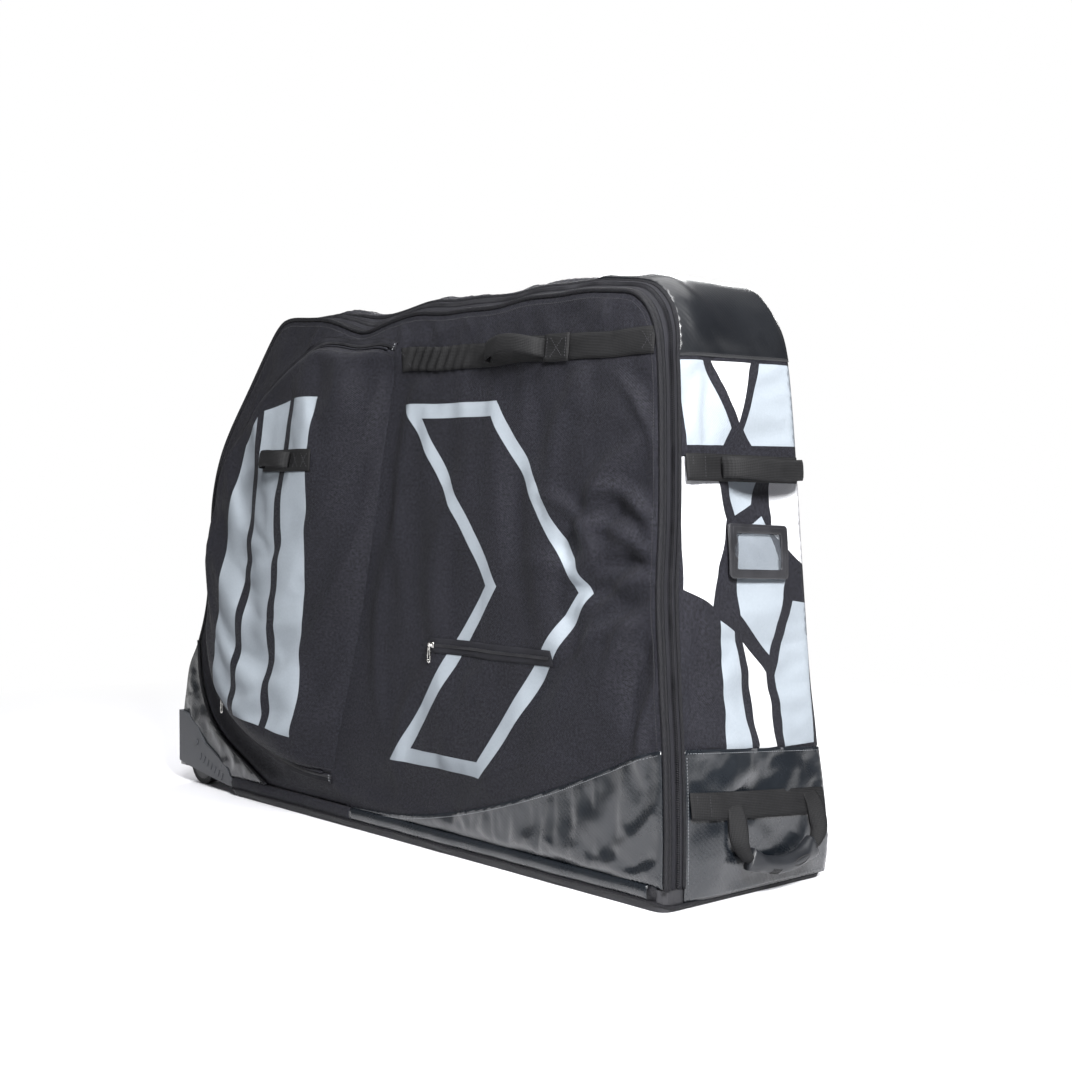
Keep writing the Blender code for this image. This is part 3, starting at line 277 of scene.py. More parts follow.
# Creases in the door's cloth: middle, direction, half length, half width and height
CREASES = (
    (0.575, 0.520, -0.55, 0.055, 0.011, 0.0090), (0.545, 0.480, -0.30, 0.075, 0.012, 0.0080),
    (0.560, 0.440, 0.10, 0.070, 0.011, -0.0075), (0.565, 0.405, 0.45, 0.075, 0.012, 0.0100),
    (0.575, 0.350, 0.75, 0.070, 0.012, 0.0095), (0.590, 0.300, 1.00, 0.060, 0.010, -0.0070),
    (0.510, 0.555, 0.85, 0.080, 0.015, 0.0080), (0.480, 0.395, 0.15, 0.085, 0.014, -0.0075),
    (0.505, 0.330, 0.55, 0.080, 0.012, 0.0080), (0.420, 0.640, 1.15, 0.110, 0.020, 0.0065),
    (0.455, 0.500, -0.70, 0.060, 0.012, 0.0065), (0.405, 0.430, -0.20, 0.070, 0.018, 0.0055),
    (0.600, 0.610, -1.20, 0.090, 0.010, 0.0070), (0.605, 0.230, 1.35, 0.070, 0.010, 0.0065),
    (0.040, 0.600, 1.35, 0.200, 0.020, 0.0075), (-0.010, 0.350, 1.45, 0.200, 0.020, 0.0065),
    (0.085, 0.200, 1.05, 0.120, 0.018, 0.0070), (0.300, 0.110, 0.50, 0.120, 0.014, 0.0050),
    (0.150, 0.470, 1.25, 0.150, 0.026, 0.0060), (0.250, 0.250, 0.75, 0.110, 0.020, 0.0055),
    (0.440, 0.430, 1.45, 0.110, 0.026, -0.0110), (0.520, 0.500, 1.10, 0.060, 0.020, -0.0080),
    (0.390, 0.250, 0.90, 0.080, 0.022, -0.0070), (0.330, 0.560, 1.30, 0.120, 0.026, -0.0060),
    (-0.235, 0.790, 1.20, 0.050, 0.009, 0.0060), (-0.160, 0.800, 1.45, 0.040, 0.009, 0.0055),
    (0.020, 0.800, 1.70, 0.045, 0.009, 0.0055), (0.110, 0.815, 1.45, 0.030, 0.008, 0.0040),
    (0.190, 0.805, 1.80, 0.030, 0.008, 0.0040), (0.500, 0.800, 1.20, 0.030, 0.008, 0.0040),
    (-0.420, 0.690, 0.95, 0.060, 0.010, 0.0060), (-0.470, 0.560, 1.30, 0.080, 0.011, 0.0055),
    (-0.500, 0.400, 1.45, 0.080, 0.010, 0.0050),
)


# Shapes
def half_width(z):
    """Half the bag's width at a height."""
    return HALF_WIDTH_BASE - (HALF_WIDTH_BASE - HALF_WIDTH_TOP) * z / HEIGHT


def up_side(z):
    """How far up the leaning side a height lies."""
    return (z - TRAY_TOP) / math.cos(LEAN)


def unit(v):
    """Directions with a length of one."""
    return v / np.linalg.norm(v, axis=-1, keepdims=True)


def distances(points):
    """How far along a path each of its points lies."""
    return np.concatenate([[0.0], np.cumsum(np.linalg.norm(np.diff(points, axis=0), axis=1))])


def pairs(x, y):
    """Every value of x with every value of y."""
    return np.stack(np.meshgrid(x, y, indexing="ij"), -1).reshape(-1, 2)


def area_of(polygon):
    x, y = np.asarray(polygon, float).T
    return (x @ np.roll(y, -1) - np.roll(x, -1) @ y) / 2


def sized(shares):
    """Shares of the length and of the height above the tray as places in metres."""
    p = np.array(shares, float)
    return np.stack([p[:, 0] * LENGTH, TRAY_TOP + p[:, 1] * (HEIGHT - TRAY_TOP)], 1)


def spline(points, steps=8):
    """A Catmull-Rom curve through the points."""
    p = np.asarray(points, float)
    ends = np.vstack([2 * p[0] - p[1], p, 2 * p[-1] - p[-2]])
    t = np.arange(steps)[:, None] / steps
    out = []
    for a, b, c, d in zip(ends, ends[1:], ends[2:], ends[3:]):
        square = 2 * a - 5 * b + 4 * c - d
        cube = 3 * b - a - 3 * c + d
        out.append((2 * b + (c - a) * t + square * t**2 + cube * t**3) / 2)
    return np.vstack([*out, p[-1:]])


class Line:
    """A path through points, measured along its length."""

    def __init__(self, points):
        self.points = np.asarray(points, float)
        self.at = distances(self.points)
        self.length = self.at[-1]

    def place(self, t):
        return np.stack([np.interp(t, self.at, c) for c in self.points.T], -1)

    def direction(self, t, reach=0.004):
        ahead = np.clip(np.add(t, reach), reach, self.length)
        behind = np.clip(np.subtract(t, reach), 0, self.length - reach)
        return unit(self.place(ahead) - self.place(behind))

    def outward(self, t, reach=0.004):
        d = self.direction(t, reach)
        return np.stack([d[..., 1], -d[..., 0]], -1)

    def beside(self, t, away):
        """Places a distance outward of the line."""
        return self.place(t) + self.outward(t) * away

    def even(self, step):
        return np.linspace(0, self.length, max(2, int(round(self.length / step)) + 1))

    def found(self, z, count):
        """How far along the line a height is met, among its first points."""
        return np.interp(z, self.points[:count, 1], self.at[:count])


def leaned(points):
    """Places in x and z as places on the leaning side, in x and the way up it."""
    p = np.array(points, float)
    p[:, 1] = up_side(p[:, 1])
    return p


def side_curve(shares):
    """A smooth edge on the leaning side through places given in shares."""
    return leaned(spline(sized(shares), 6))


SPLINE_STEPS = 8
OUTLINE = Line(spline(sized([p for s in STRETCHES.values() for p in s]), SPLINE_STEPS))
COUNTS = np.cumsum([len(s) for s in STRETCHES.values()])
SEAMS = {k: OUTLINE.at[(n - 1) * SPLINE_STEPS] for k, n in zip(STRETCHES, COUNTS)}
STARTS = dict(zip(STRETCHES, [0.0, *SEAMS.values()]))
SIDE = Line(leaned(OUTLINE.points))
SIDE_SEAMS = {k: SIDE.at[np.searchsorted(OUTLINE.at, v)] for k, v in SEAMS.items()}
BAND_END = SIDE_SEAMS["nose"]
PATCH_LINE = side_curve(PATCH_EDGE)
POCKET_LINE = side_curve(POCKET_RIM)
DOOR_EDGE = np.vstack(
    [[[SIDE.points[0][0], DOOR_FOOT]], SIDE.place(np.linspace(0.002, BAND_END, 260)), PATCH_LINE[1:]]
)
STRAP_LEVEL = up_side(0.771)
POCKET_STRAP_LEVEL = up_side(0.611)
SLIT_LEVEL = up_side(0.322)


def on_side(x, s, out, far=False):
    """World places on a leaning side: x, the way up it, and how far out of it."""
    x, s, out = np.broadcast_arrays(x, s, out)
    y = -half_width(TRAY_TOP) - out * math.cos(LEAN) + s * math.sin(LEAN)
    z = TRAY_TOP + out * math.sin(LEAN) + s * math.cos(LEAN)
    return np.stack([x, -y if far else y, z], -1)


def turned(d):
    """A direction in the side's plane as one in the world."""
    d = np.asarray(d, float)
    return on_side(d[..., 0], d[..., 1], 0.0) - on_side(0.0, 0.0, 0.0)


OUT_DOOR = on_side(0.0, 0.0, 1.0) - on_side(0.0, 0.0, 0.0)
OUT_FAR = OUT_DOOR * [1, -1, 1]


def segments_of(polygon, closed=True):
    a = np.asarray(polygon, float)
    return (a, np.roll(a, -1, 0)) if closed else (a[:-1], a[1:])


def edge_distance(points, polygon, closed=True):
    """How far each point lies from an outline."""
    best = np.full(len(points), np.inf)
    for p, q in zip(*segments_of(polygon, closed)):
        d = q - p
        t = np.clip(((points - p) @ d) / max(d @ d, 1e-12), 0, 1)
        best = np.minimum(best, np.linalg.norm(points - p - t[:, None] * d, axis=1))
    return best


def inside(points, polygon):
    """Which points lie inside an outline."""
    x, y = points[:, 0], points[:, 1]
    odd = np.zeros(len(points), bool)
    for (x0, y0), (x1, y1) in zip(*segments_of(polygon)):
        if y0 != y1:
            odd ^= ((y0 > y) != (y1 > y)) & (x < (x1 - x0) * (y - y0) / (y1 - y0) + x0)
    return odd


def ring_of(polygon, step):
    """A closed outline cut into even steps, its corners kept."""
    out = []
    for p, q in zip(*segments_of(polygon)):
        n = max(1, int(np.linalg.norm(q - p) / step + 0.5))
        out += [p + (q - p) * i / n for i in range(n)]
    return np.array(out)


def stroked(polygon, width):
    """An outline and the same one moved in by a width, for a printed stroke."""
    a = np.asarray(polygon, float)
    if area_of(a) < 0:
        a = a[::-1]
    before, after = unit(a - np.roll(a, 1, 0)), unit(np.roll(a, -1, 0) - a)
    left = np.stack([-before[:, 1], before[:, 0]], 1)
    way = unit(left + np.stack([-after[:, 1], after[:, 0]], 1))
    return a, a + way * (width / np.maximum((way * left).sum(1), 0.4))[:, None]


def fold(value, width):
    """A soft bump of the given width around zero."""
    return np.exp(-((value / width) ** 2))


def smoothstep(value, low, high):
    t = np.clip((value - low) / (high - low), 0, 1)
    return t * t * (3 - 2 * t)


def ripple(points, scale, seed, octaves=2):
    """Smooth noise at flat places, about -1 to 1."""
    places = (Vector((x * scale, y * scale, seed * 7.31)) for x, y in points)
    return np.array([noise.fractal(p, 0.6, 2.0, octaves) for p in places])


class Field:
    """Heights on an even grid, read between its points."""

    def __init__(self, x, y, values):
        self.x, self.y, self.values = x, y, values.reshape(len(x), len(y))

    def __call__(self, x, y):
        fx = np.clip((np.asarray(x) - self.x[0]) / (self.x[1] - self.x[0]), 0, len(self.x) - 1.001)
        fy = np.clip((np.asarray(y) - self.y[0]) / (self.y[1] - self.y[0]), 0, len(self.y) - 1.001)
        i, j = fx.astype(int), fy.astype(int)
        u, w = fx - i, fy - j
        v = self.values
        low = v[i, j] * (1 - u) * (1 - w) + v[i + 1, j] * u * (1 - w)
        return low + v[i, j + 1] * (1 - u) * w + v[i + 1, j + 1] * u * w


def grid_of(x0, x1, y0, y1, step):
    x, y = np.arange(x0, x1 + step, step), np.arange(y0, y1 + step, step)
    return x, y, pairs(x, y)


def grid_in(edge, box, step):
    """An even grid over a box of x and y, and how deep inside an outline each point lies."""
    x, y, points = grid_of(*box, step)
    return x, y, points, np.where(inside(points, edge), edge_distance(points, edge), 0.0)


def slumped(points):
    """The bag's own sag: a dip in the long top edge, slack waves along it and a dent in the tall end."""
    x, y, z = np.moveaxis(points, -1, 0)
    high = smoothstep(z, 0.60, 0.84)
    near = smoothstep(-y, 0.070, 0.115)
    away = smoothstep(x, -0.30, -0.22)
    dip = -0.012 * fold(x + 0.086, 0.05) * near
    waves = 0.0020 * np.sin(x * 21 + 0.6) + 0.0012 * np.sin(x * 47 + y * 9)
    out = points.copy()
    out[..., 2] += high * away * (dip + waves * smoothstep(0.62 - x, 0.0, 0.12))
    dent = fold(z - 0.42, 0.08) * smoothstep(x, 0.53, 0.60) * smoothstep(-y, 0.04, 0.12)
    out[..., 0] -= 0.006 * dent
    return out


# Cloth
CLOTH_SETTINGS = {
    "quality": 5, "mass": 0.25, "air_damping": 2.0, "tension_stiffness": 20.0,
    "compression_stiffness": 20.0, "shear_stiffness": 8.0, "vertex_group_mass": "held",
}
CLOTH_FRAMES = 22


def simulated(x, y, base, loose, slack, pressure, cap, seed, bending, pull):
    """Lets cloth settle over a flat grid and gives how far each point moved out of it.

    base is the height it starts from, and loose tells where nothing holds it."""
    shift = np.zeros(len(x) * len(y))
    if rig.quick():
        return shift
    start = np.column_stack([pairs(x, y), np.ravel(base)])
    number = np.arange(len(shift)).reshape(len(x), len(y))
    quads = np.stack([number[:-1, :-1], number[1:, :-1], number[1:, 1:], number[:-1, 1:]], -1).reshape(-1, 4)
    quads = quads[loose[quads].any(1)]
    used, local = np.unique(quads, return_inverse=True)
    points = start[used].copy()
    points[:, 2] += ripple(points[:, :2], 14, seed) * 0.0006
    mesh = bpy.data.meshes.new("settling")
    mesh.from_pydata(points.tolist(), [], local.reshape(-1, 4).tolist())
    o = bpy.data.objects.new("settling", mesh)
    scene = bpy.context.scene
    scene.collection.objects.link(o)
    o.vertex_groups.new(name="held").add(np.nonzero(~loose[used])[0].tolist(), 1.0, "REPLACE")
    cloth = o.modifiers.new("settling", "CLOTH")
    s = cloth.settings
    for key, value in CLOTH_SETTINGS.items():
        setattr(s, key, value)
    s.bending_stiffness = bending
    s.shrink_min = -slack
    s.use_pressure = pressure != 0.0
    s.uniform_pressure_force = pressure
    s.effector_weights.gravity = pull
    cloth.point_cache.frame_start = 1
    cloth.point_cache.frame_end = CLOTH_FRAMES + 1
    gravity = tuple(scene.gravity)
    scene.gravity = (0.0, -9.81, 0.0)
    for f in range(1, CLOTH_FRAMES + 1):
        scene.frame_set(f)
    done = o.evaluated_get(bpy.context.evaluated_depsgraph_get()).to_mesh()
    flat = np.zeros(len(done.vertices) * 3, np.float32)
    done.vertices.foreach_get("co", flat)
    moved = flat.reshape(-1, 3)[:, 2] - start[used][:, 2]
    scene.gravity = gravity
    scene.frame_set(1)
    bpy.data.objects.remove(o)
    bpy.data.meshes.remove(mesh)
    shift[used] = np.where(np.isfinite(moved), cap * np.tanh(moved / cap), 0.0)
    shift = shift.reshape(len(x), len(y))
    beside = shift[:-2, 1:-1] + shift[2:, 1:-1] + shift[1:-1, :-2] + shift[1:-1, 2:]
    soft = shift.copy()
    soft[1:-1, 1:-1] = shift[1:-1, 1:-1] * 0.5 + beside * 0.125
    return soft.ravel()


# Meshes
def new_object(name, vertices, faces, keys, indices=None, flat=None, smooth=True):
    """A mesh object from numpy places and faces, in its finishes, with its cloth map in metres."""
    mesh = bpy.data.meshes.new(name)
    mesh.from_pydata(np.asarray(vertices, float).tolist(), [], [list(map(int, f)) for f in faces])
    for key in keys.split():
        mesh.materials.append(MATERIALS[key])
    if indices is not None:
        mesh.polygons.foreach_set("material_index", indices)
    if flat is not None:
        loops = np.zeros(len(mesh.loops), np.int32)
        mesh.loops.foreach_get("vertex_index", loops)
        layer = mesh.uv_layers.new(name="cloth")
        layer.uv.foreach_set("vector", np.asarray(flat, np.float32)[loops].ravel())
    mesh.polygons.foreach_set("use_smooth", np.full(len(mesh.polygons), smooth))
    mesh.update()
    o = bpy.data.objects.new(name, mesh)
    bpy.context.scene.collection.objects.link(o)
    return o


def thickened(o, thickness, offset=-1.0, lined=False):
    """Gives a sheet its thickness, inwards, and a lining on its inner side if asked."""
    m = o.modifiers.new("thickness", "SOLIDIFY")
    m.thickness = thickness
    m.offset = offset
    if lined:
        m.material_offset = len(o.data.materials)
        for _ in range(m.material_offset):
            o.data.materials.append(MATERIALS["lining"])
    return o


def filled(edge, spacing, marks=(), holes=()):
    """Triangles that fill an outline, with the outlines of marks and holes cut in."""
    edge = np.asarray(edge, float)
    rings = [ring_of(r, spacing) for r in (edge, *marks, *holes)]
    points, lines = [], []
    for r in rings:
        start = len(points)
        points += [Vector(p) for p in r]
        lines += [(start + i, start + (i + 1) % len(r)) for i in range(len(r))]
    low, high = edge.min(0), edge.max(0)
    _, _, grid = grid_of(low[0], high[0], low[1], high[1], spacing)
    grid[:, 1] += (np.round((grid[:, 0] - low[0]) / spacing) % 2) * spacing / 2
    grid = grid[inside(grid, edge)]
    near = np.ones(len(grid), bool)
    for r in rings:
        near &= edge_distance(grid, r) > spacing * 0.42
    points += [Vector(p) for p in grid[near]]
    v, _, f, _, _, _ = delaunay_2d_cdt(points, lines, [], 1, 1e-7, False)
    v = np.array([tuple(p) for p in v])
    f = np.array([t for t in f if len(t) == 3])
    middle = v[f].mean(1)
    keep = inside(middle, edge)
    for h in holes:
        keep &= ~inside(middle, h)
    used, f = np.unique(f[keep], return_inverse=True)
    return v[used], f.reshape(-1, 3), middle[keep]


def sheet(name, edge, place, keys, spacing=0.008, marks=(), holes=(), flip=False, slump=True):
    """A piece of cloth cut to an outline in the flat and laid over a surface.

    marks are (outline, finish number) pairs, printed on the cloth."""
    v, f, middle = filled(edge, spacing, [m for m, _ in marks], holes)
    index = np.zeros(len(f), np.int32)
    for outline, which in marks:
        index[inside(middle, outline)] = which
    world = place(v[:, 0], v[:, 1])
    return new_object(name, slumped(world) if slump else world, f[:, ::-1] if flip else f, keys, index, v)


def tubed(name, v, key, flat=None):
    """A closed skin through rings of places: v is rings, points of a ring, 3."""
    n, m = v.shape[:2]
    here = np.arange(n * m).reshape(n, m)
    after = np.roll(here, -1, 1)
    faces = np.stack([here[:-1], after[:-1], after[1:], here[1:]], -1).reshape(-1, 4).tolist()
    faces += [here[0, ::-1].tolist(), here[-1].tolist()]
    if flat is None:
        flat = pairs(distances(v[:, 0]), distances(v[n // 2]))
    o = new_object(name, v.reshape(-1, 3), faces, key, None, flat)
    if sum(p.normal.dot(p.center) * p.area for p in o.data.polygons) < 0:
        o.data.flip_normals()
    return o


def swept(name, centre, across, up, section, key):
    """A section carried along a path. across and up are its directions at each point."""
    section = np.asarray(section, float)
    wide, tall = section[None, :, 0, None], section[None, :, 1, None]
    v = centre[:, None] + wide * across[:, None] + tall * up[:, None]
    return tubed(name, slumped(v), key, pairs(distances(centre), distances(section)))


def turns(steps):
    """Angles once round a circle."""
    return np.arange(steps) / steps * 2 * math.pi


def tube(name, path, radius, normal, key):
    """A round cord along a path of world points, with a rough up direction."""
    d = unit(np.gradient(path, axis=0))
    across = unit(np.cross(d, normal))
    section = np.stack([np.cos(turns(10)), np.sin(turns(10))], 1) * radius
    return swept(name, path, across, np.cross(across, d), section, key)


def on_band(t, depth, out=0.0):
    """World places on the zip band: along the side's outline, in from the door's face, and out."""
    p, n = SIDE.place(t), SIDE.outward(t)
    share = depth / (2 * half_width(TRAY_TOP + p[..., 1]))
    rise = crown(np.interp(t, SIDE.at, OUTLINE.at), share) + out
    return on_side(p[..., 0] + n[..., 0] * rise, p[..., 1] + n[..., 1] * rise, -depth)


def band(name, section, key):
    """A strip of the zip band: section is (outward of the outline, depth in from the door's face)."""
    t = np.linspace(0.0, BAND_END, int(BAND_END / 0.006))
    return tubed(name, slumped(np.stack([on_band(t, d, a) for a, d in section], 1)), key)


def joined(name, objects):
    """Several meshes as one object."""
    bpy.ops.object.select_all(action="DESELECT")
    for o in objects:
        o.select_set(True)
    bpy.context.view_layer.objects.active = objects[0]
    bpy.ops.object.join()
    objects[0].name = name
    objects[0].data.name = name
    return objects[0]


BLOCK_FACES = np.array([(0, 1, 2, 3), (7, 6, 5, 4), (0, 4, 5, 1), (1, 5, 6, 2), (2, 6, 7, 3), (3, 7, 4, 0)])


def blocks(name, centre, along, across, up, size, key, taper=1.0, slump=True):
    """One small block at each place, for teeth and stitches."""
    along, across, up = (np.broadcast_to(a, centre.shape) for a in (along, across, up))
    corners = []
    for t, c in ((taper, 1), (1.0, -1)):
        corners += [(-t, -t, c), (t, -t, c), (t, t, c), (-t, t, c)]
    a, b, c = (np.array(corners) * size / 2).T[:, None, :, None]
    v = (centre[:, None] + a * along[:, None] + b * across[:, None] + c * up[:, None]).reshape(-1, 3)
    if slump:
        v = slumped(v)
    faces = (BLOCK_FACES[None] + np.arange(len(centre))[:, None, None] * 8).reshape(-1, 4)
    if np.linalg.det(np.stack([along[0], across[0], up[0]])) < 0:
        faces = faces[:, ::-1]
    return new_object(name, v, faces, key, None, v[:, [0, 2]], smooth=False)


def settled(o, body, slot=None, *nodes, padded=None, bend=None):
    """The piece rides on its body, stands for its solids and takes their finish.

    bend is where it starts and ends to follow that body, if it is sewn to the shell."""
    if bend:
        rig.blend(o, "shell", body, *bend)
    else:
        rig.ride(o, body)
    if slot:
        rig.slot(o, slot)
    if nodes:
        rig.replaces(o, *nodes)
    if padded is not None:
        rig.padded(o, fill=padded)
    return o


def laid(o, edge, held, *rests_on, longer=1.0):
    """Declares a sheet of cloth with the size it was cut to in the flat.

    longer is the cloth's share of the outline's length, where it goes round a swelling."""
    flat = np.asarray(edge, float) * [longer, 1.0]
    width, span = sorted(float(v) for v in np.ptp(flat, axis=0))
    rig.sheet(o, flat=(width, span), held=held, rests_on=rests_on, area=float(abs(area_of(flat))))


# Finishes
class Maker:
    """Adds nodes to one tree."""

    def __init__(self, tree):
        self.tree = tree

    def put(self, socket, value):
        """Links a socket to another one, or sets its value."""
        if isinstance(value, bpy.types.NodeSocket):
            self.tree.links.new(value, socket)
        else:
            socket.default_value = value

    def node(self, kind, inputs=None, **settings):
        n = self.tree.nodes.new(kind)
        for key, value in settings.items():
            setattr(n, key, value)
        for key, value in (inputs or {}).items():
            self.put(n.inputs[key], value)
        return n

    def math(self, operation, *values):
        return self.node("ShaderNodeMath", dict(enumerate(values)), operation=operation).outputs[0]

    def times(self, a, b):
        return self.math("MULTIPLY", a, b)

    def plus(self, a, b, share=1.0):
        """One value and a share of another."""
        return self.math("MULTIPLY_ADD", b, share, a)

    def mix(self, factor, a, b):
        return self.node("ShaderNodeMix", {0: factor, 6: a, 7: b}, data_type="RGBA").outputs[2]

    def shade(self, factor, a, b):
        return self.node("ShaderNodeMixShader", {0: factor, 1: a, 2: b}).outputs[0]

    def span(self, value, low, high, to_low=0.0, to_high=1.0):
        inputs = {0: value, 1: low, 2: high, 3: to_low, 4: to_high}
        return self.node("ShaderNodeMapRange", inputs).outputs[0]

    def noise(self, vector, scale, detail=2.0, roughness=0.5, distortion=0.0):
        inputs = {
            "Vector": vector, "Scale": scale, "Detail": detail, "Roughness": roughness,
            "Distortion": distortion,
        }
        return self.node("ShaderNodeTexNoise", inputs).outputs["Fac"]

    def group(self, name, **inputs):
        return self.node("ShaderNodeGroup", inputs, node_tree=GROUPS[name]).outputs

    def finish(self, inputs, bumps):
        """Sets the shader, with bumps of several sizes, one over the other: (height, strength, distance)."""
        shader = self.tree.nodes["Principled BSDF"]
        for key, value in inputs.items():
            self.put(shader.inputs[key], value)
        normal = None
        for height, strength, distance in bumps:
            inputs = {"Height": height, "Strength": strength, "Distance": distance}
            if normal is not None:
                inputs["Normal"] = normal
            normal = self.node("ShaderNodeBump", inputs).outputs[0]
            self.put(shader.inputs["Normal"], normal)


def new_group(name, source, measure, default, *outputs):
    """A node group that takes a vector and a measure, and gives values."""
    tree = bpy.data.node_groups.new(name, "ShaderNodeTree")
    GROUPS[name] = tree
    tree.interface.new_socket(source, in_out="INPUT", socket_type="NodeSocketVector")
    s = tree.interface.new_socket(measure, in_out="INPUT", socket_type="NodeSocketFloat")
    s.default_value = default
    for key in outputs:
        tree.interface.new_socket(key, in_out="OUTPUT", socket_type="NodeSocketFloat")
    m = Maker(tree)
    given = m.node("NodeGroupInput").outputs
    return m, given[0], given[1], m.node("NodeGroupOutput").inputs


def make_groups():
    """The effects that several finishes share."""
    m, flat, pitch, out = new_group("plain_weave", "Map", "Pitch", 0.001, "Height", "Fleck")
    x, y, _ = m.node("ShaderNodeSeparateXYZ", {0: flat}).outputs
    turn = m.math("DIVIDE", 2 * math.pi, pitch)
    over = m.times(m.math("SINE", m.times(x, turn)), m.math("SINE", m.times(y, turn)))
    fine, coarse = m.noise(flat, 620.0, 3.0, 0.75), m.noise(flat, 230.0, 2.0, 0.6)
    fleck = m.plus(m.times(fine, 0.6), coarse, 0.4)
    twill = m.math("SINE", m.times(m.plus(m.times(x, 0.62), y, 0.78), m.times(turn, 0.42)))
    m.put(out["Height"], m.plus(m.plus(fleck, over, 0.3), twill, 0.25))
    # Fleck: a speckle that the woven finishes use to paint glints on the threads' tops in a lighter colour
    m.put(out["Fleck"], m.span(m.plus(fleck, twill, 0.035), 0.40, 0.62))

    m, place, scale, out = new_group("slack", "Place", "Scale", 20.0, "Height")
    small = m.noise(place, m.times(scale, 3.1), 2.0, 0.5, 0.8)
    m.put(out["Height"], m.plus(m.noise(place, scale, 3.0, 0.55, 0.4), small, 0.35))

    m, place, scale, out = new_group("wear", "Place", "Scale", 6.0, "Mask")
    m.put(out["Mask"], m.span(m.noise(place, scale, 4.0, 0.6), 0.35, 0.7))

    m, flat, pitch, out = new_group("ribs", "Map", "Pitch", 0.0016, "Height")
    x, y, _ = m.node("ShaderNodeSeparateXYZ", {0: flat}).outputs
    turn = m.math("DIVIDE", 2 * math.pi, pitch)
    across, along = m.math("SINE", m.times(y, turn)), m.math("SINE", m.times(x, m.times(turn, 0.8)))
    m.put(out["Height"], m.plus(m.times(across, 0.5), along, 0.25))


def colour_of(rgb):
    """An sRGB colour in 0 to 255 as a linear one."""
    c = [v / 255 for v in rgb]
    return (*[v / 12.92 if v <= 0.04045 else ((v + 0.055) / 1.055) ** 2.4 for v in c], 1.0)


def new_material(name):
    """A material, its maker and its two coordinates."""
    material = bpy.data.materials.new(name)
    material.use_nodes = True
    m = Maker(material.node_tree)
    flat = m.node("ShaderNodeUVMap", uv_map="cloth").outputs[0]
    return material, m, flat, m.node("ShaderNodeTexCoord").outputs["Object"]


def woven(name, rgb, light, roughness=0.75, pitch=0.0011, fleck=0.5, sheen=0.0, shine=0.22):
    material, m, flat, place = new_material(name)
    weave = m.group("plain_weave", Map=flat, Pitch=pitch)
    worn = m.group("wear", Place=place, Scale=5.0)["Mask"]
    soft = m.group("slack", Place=place, Scale=18.0)["Height"]
    # Painted highlight: the lighter colour, mixed in by the weave's speckle, paints glints on the threads' tops
    base = m.mix(m.times(weave["Fleck"], fleck), colour_of(rgb), colour_of(light))
    shade = (*[v * 0.82 for v in colour_of(rgb)[:3]], 1.0)
    m.finish(
        {
            "Base Color": m.mix(m.times(worn, 0.35), base, shade),
            "Roughness": m.span(weave["Fleck"], 0.0, 1.0, roughness + 0.08, roughness - 0.08),
            "Specular IOR Level": shine, "Sheen Weight": sheen, "Sheen Roughness": 0.5,
        },
        [(soft, 0.4, 0.004), (weave["Height"], 0.6, 0.0008)],
    )
    return material


def coated(name, rgb, light, slack=30.0, soft_depth=0.16, dull=0.22, coat=0.45):
    material, m, flat, place = new_material(name)
    soft = m.group("slack", Place=place, Scale=slack)["Height"]
    worn = m.group("wear", Place=place, Scale=9.0)["Mask"]
    weave = m.group("plain_weave", Map=flat, Pitch=0.0022)
    m.finish(
        {
            "Base Color": m.mix(m.times(worn, 0.5), colour_of(rgb), colour_of(light)),
            "Roughness": m.span(m.plus(worn, weave["Fleck"], 0.3), 0.0, 1.3, dull, dull + 0.15),
            "Coat Weight": coat, "Coat Roughness": 0.16,
        },
        [(soft, soft_depth, 0.004), (weave["Height"], 0.25, 0.0005)],
    )
    return material


def ribbed(name, rgb, light, pitch=0.0022):
    material, m, flat, place = new_material(name)
    ribs = m.group("ribs", Map=flat, Pitch=pitch)["Height"]
    worn = m.group("wear", Place=place, Scale=20.0)["Mask"]
    # Painted shade and highlight: the colour goes dark in the grooves between the ribs and light on their tops, with
    # wear noise mixed in
    factor = m.span(m.plus(ribs, worn, 0.5), -0.4, 1.1)
    m.finish(
        {
            "Base Color": m.mix(factor, colour_of(rgb), colour_of(light)),
            "Roughness": m.span(worn, 0, 1, 0.6, 0.8), "Specular IOR Level": 0.2,
        },
        [(worn, 0.2, 0.001), (ribs, 0.6, 0.0005)],
    )
    return material


def moulded(name, rgb, light, roughness=0.45, grain=900.0, depth=0.0002, metallic=0.0, alpha=1.0):
    material, m, _, place = new_material(name)
    worn = m.group("wear", Place=place, Scale=25.0)["Mask"]
    m.finish(
        {
            "Base Color": m.mix(m.times(worn, 0.6), colour_of(rgb), colour_of(light)),
            "Roughness": m.span(worn, 0, 1, roughness, roughness + 0.12),
            "Metallic": metallic, "Alpha": alpha,
        },
        [(m.noise(place, grain, 3.0, 0.6), 0.5, depth)],
    )
    return material


def tones(key, lighter=0):
    """One of the set colours and the same one made lighter."""
    return paint(key), paint(key, lighter)


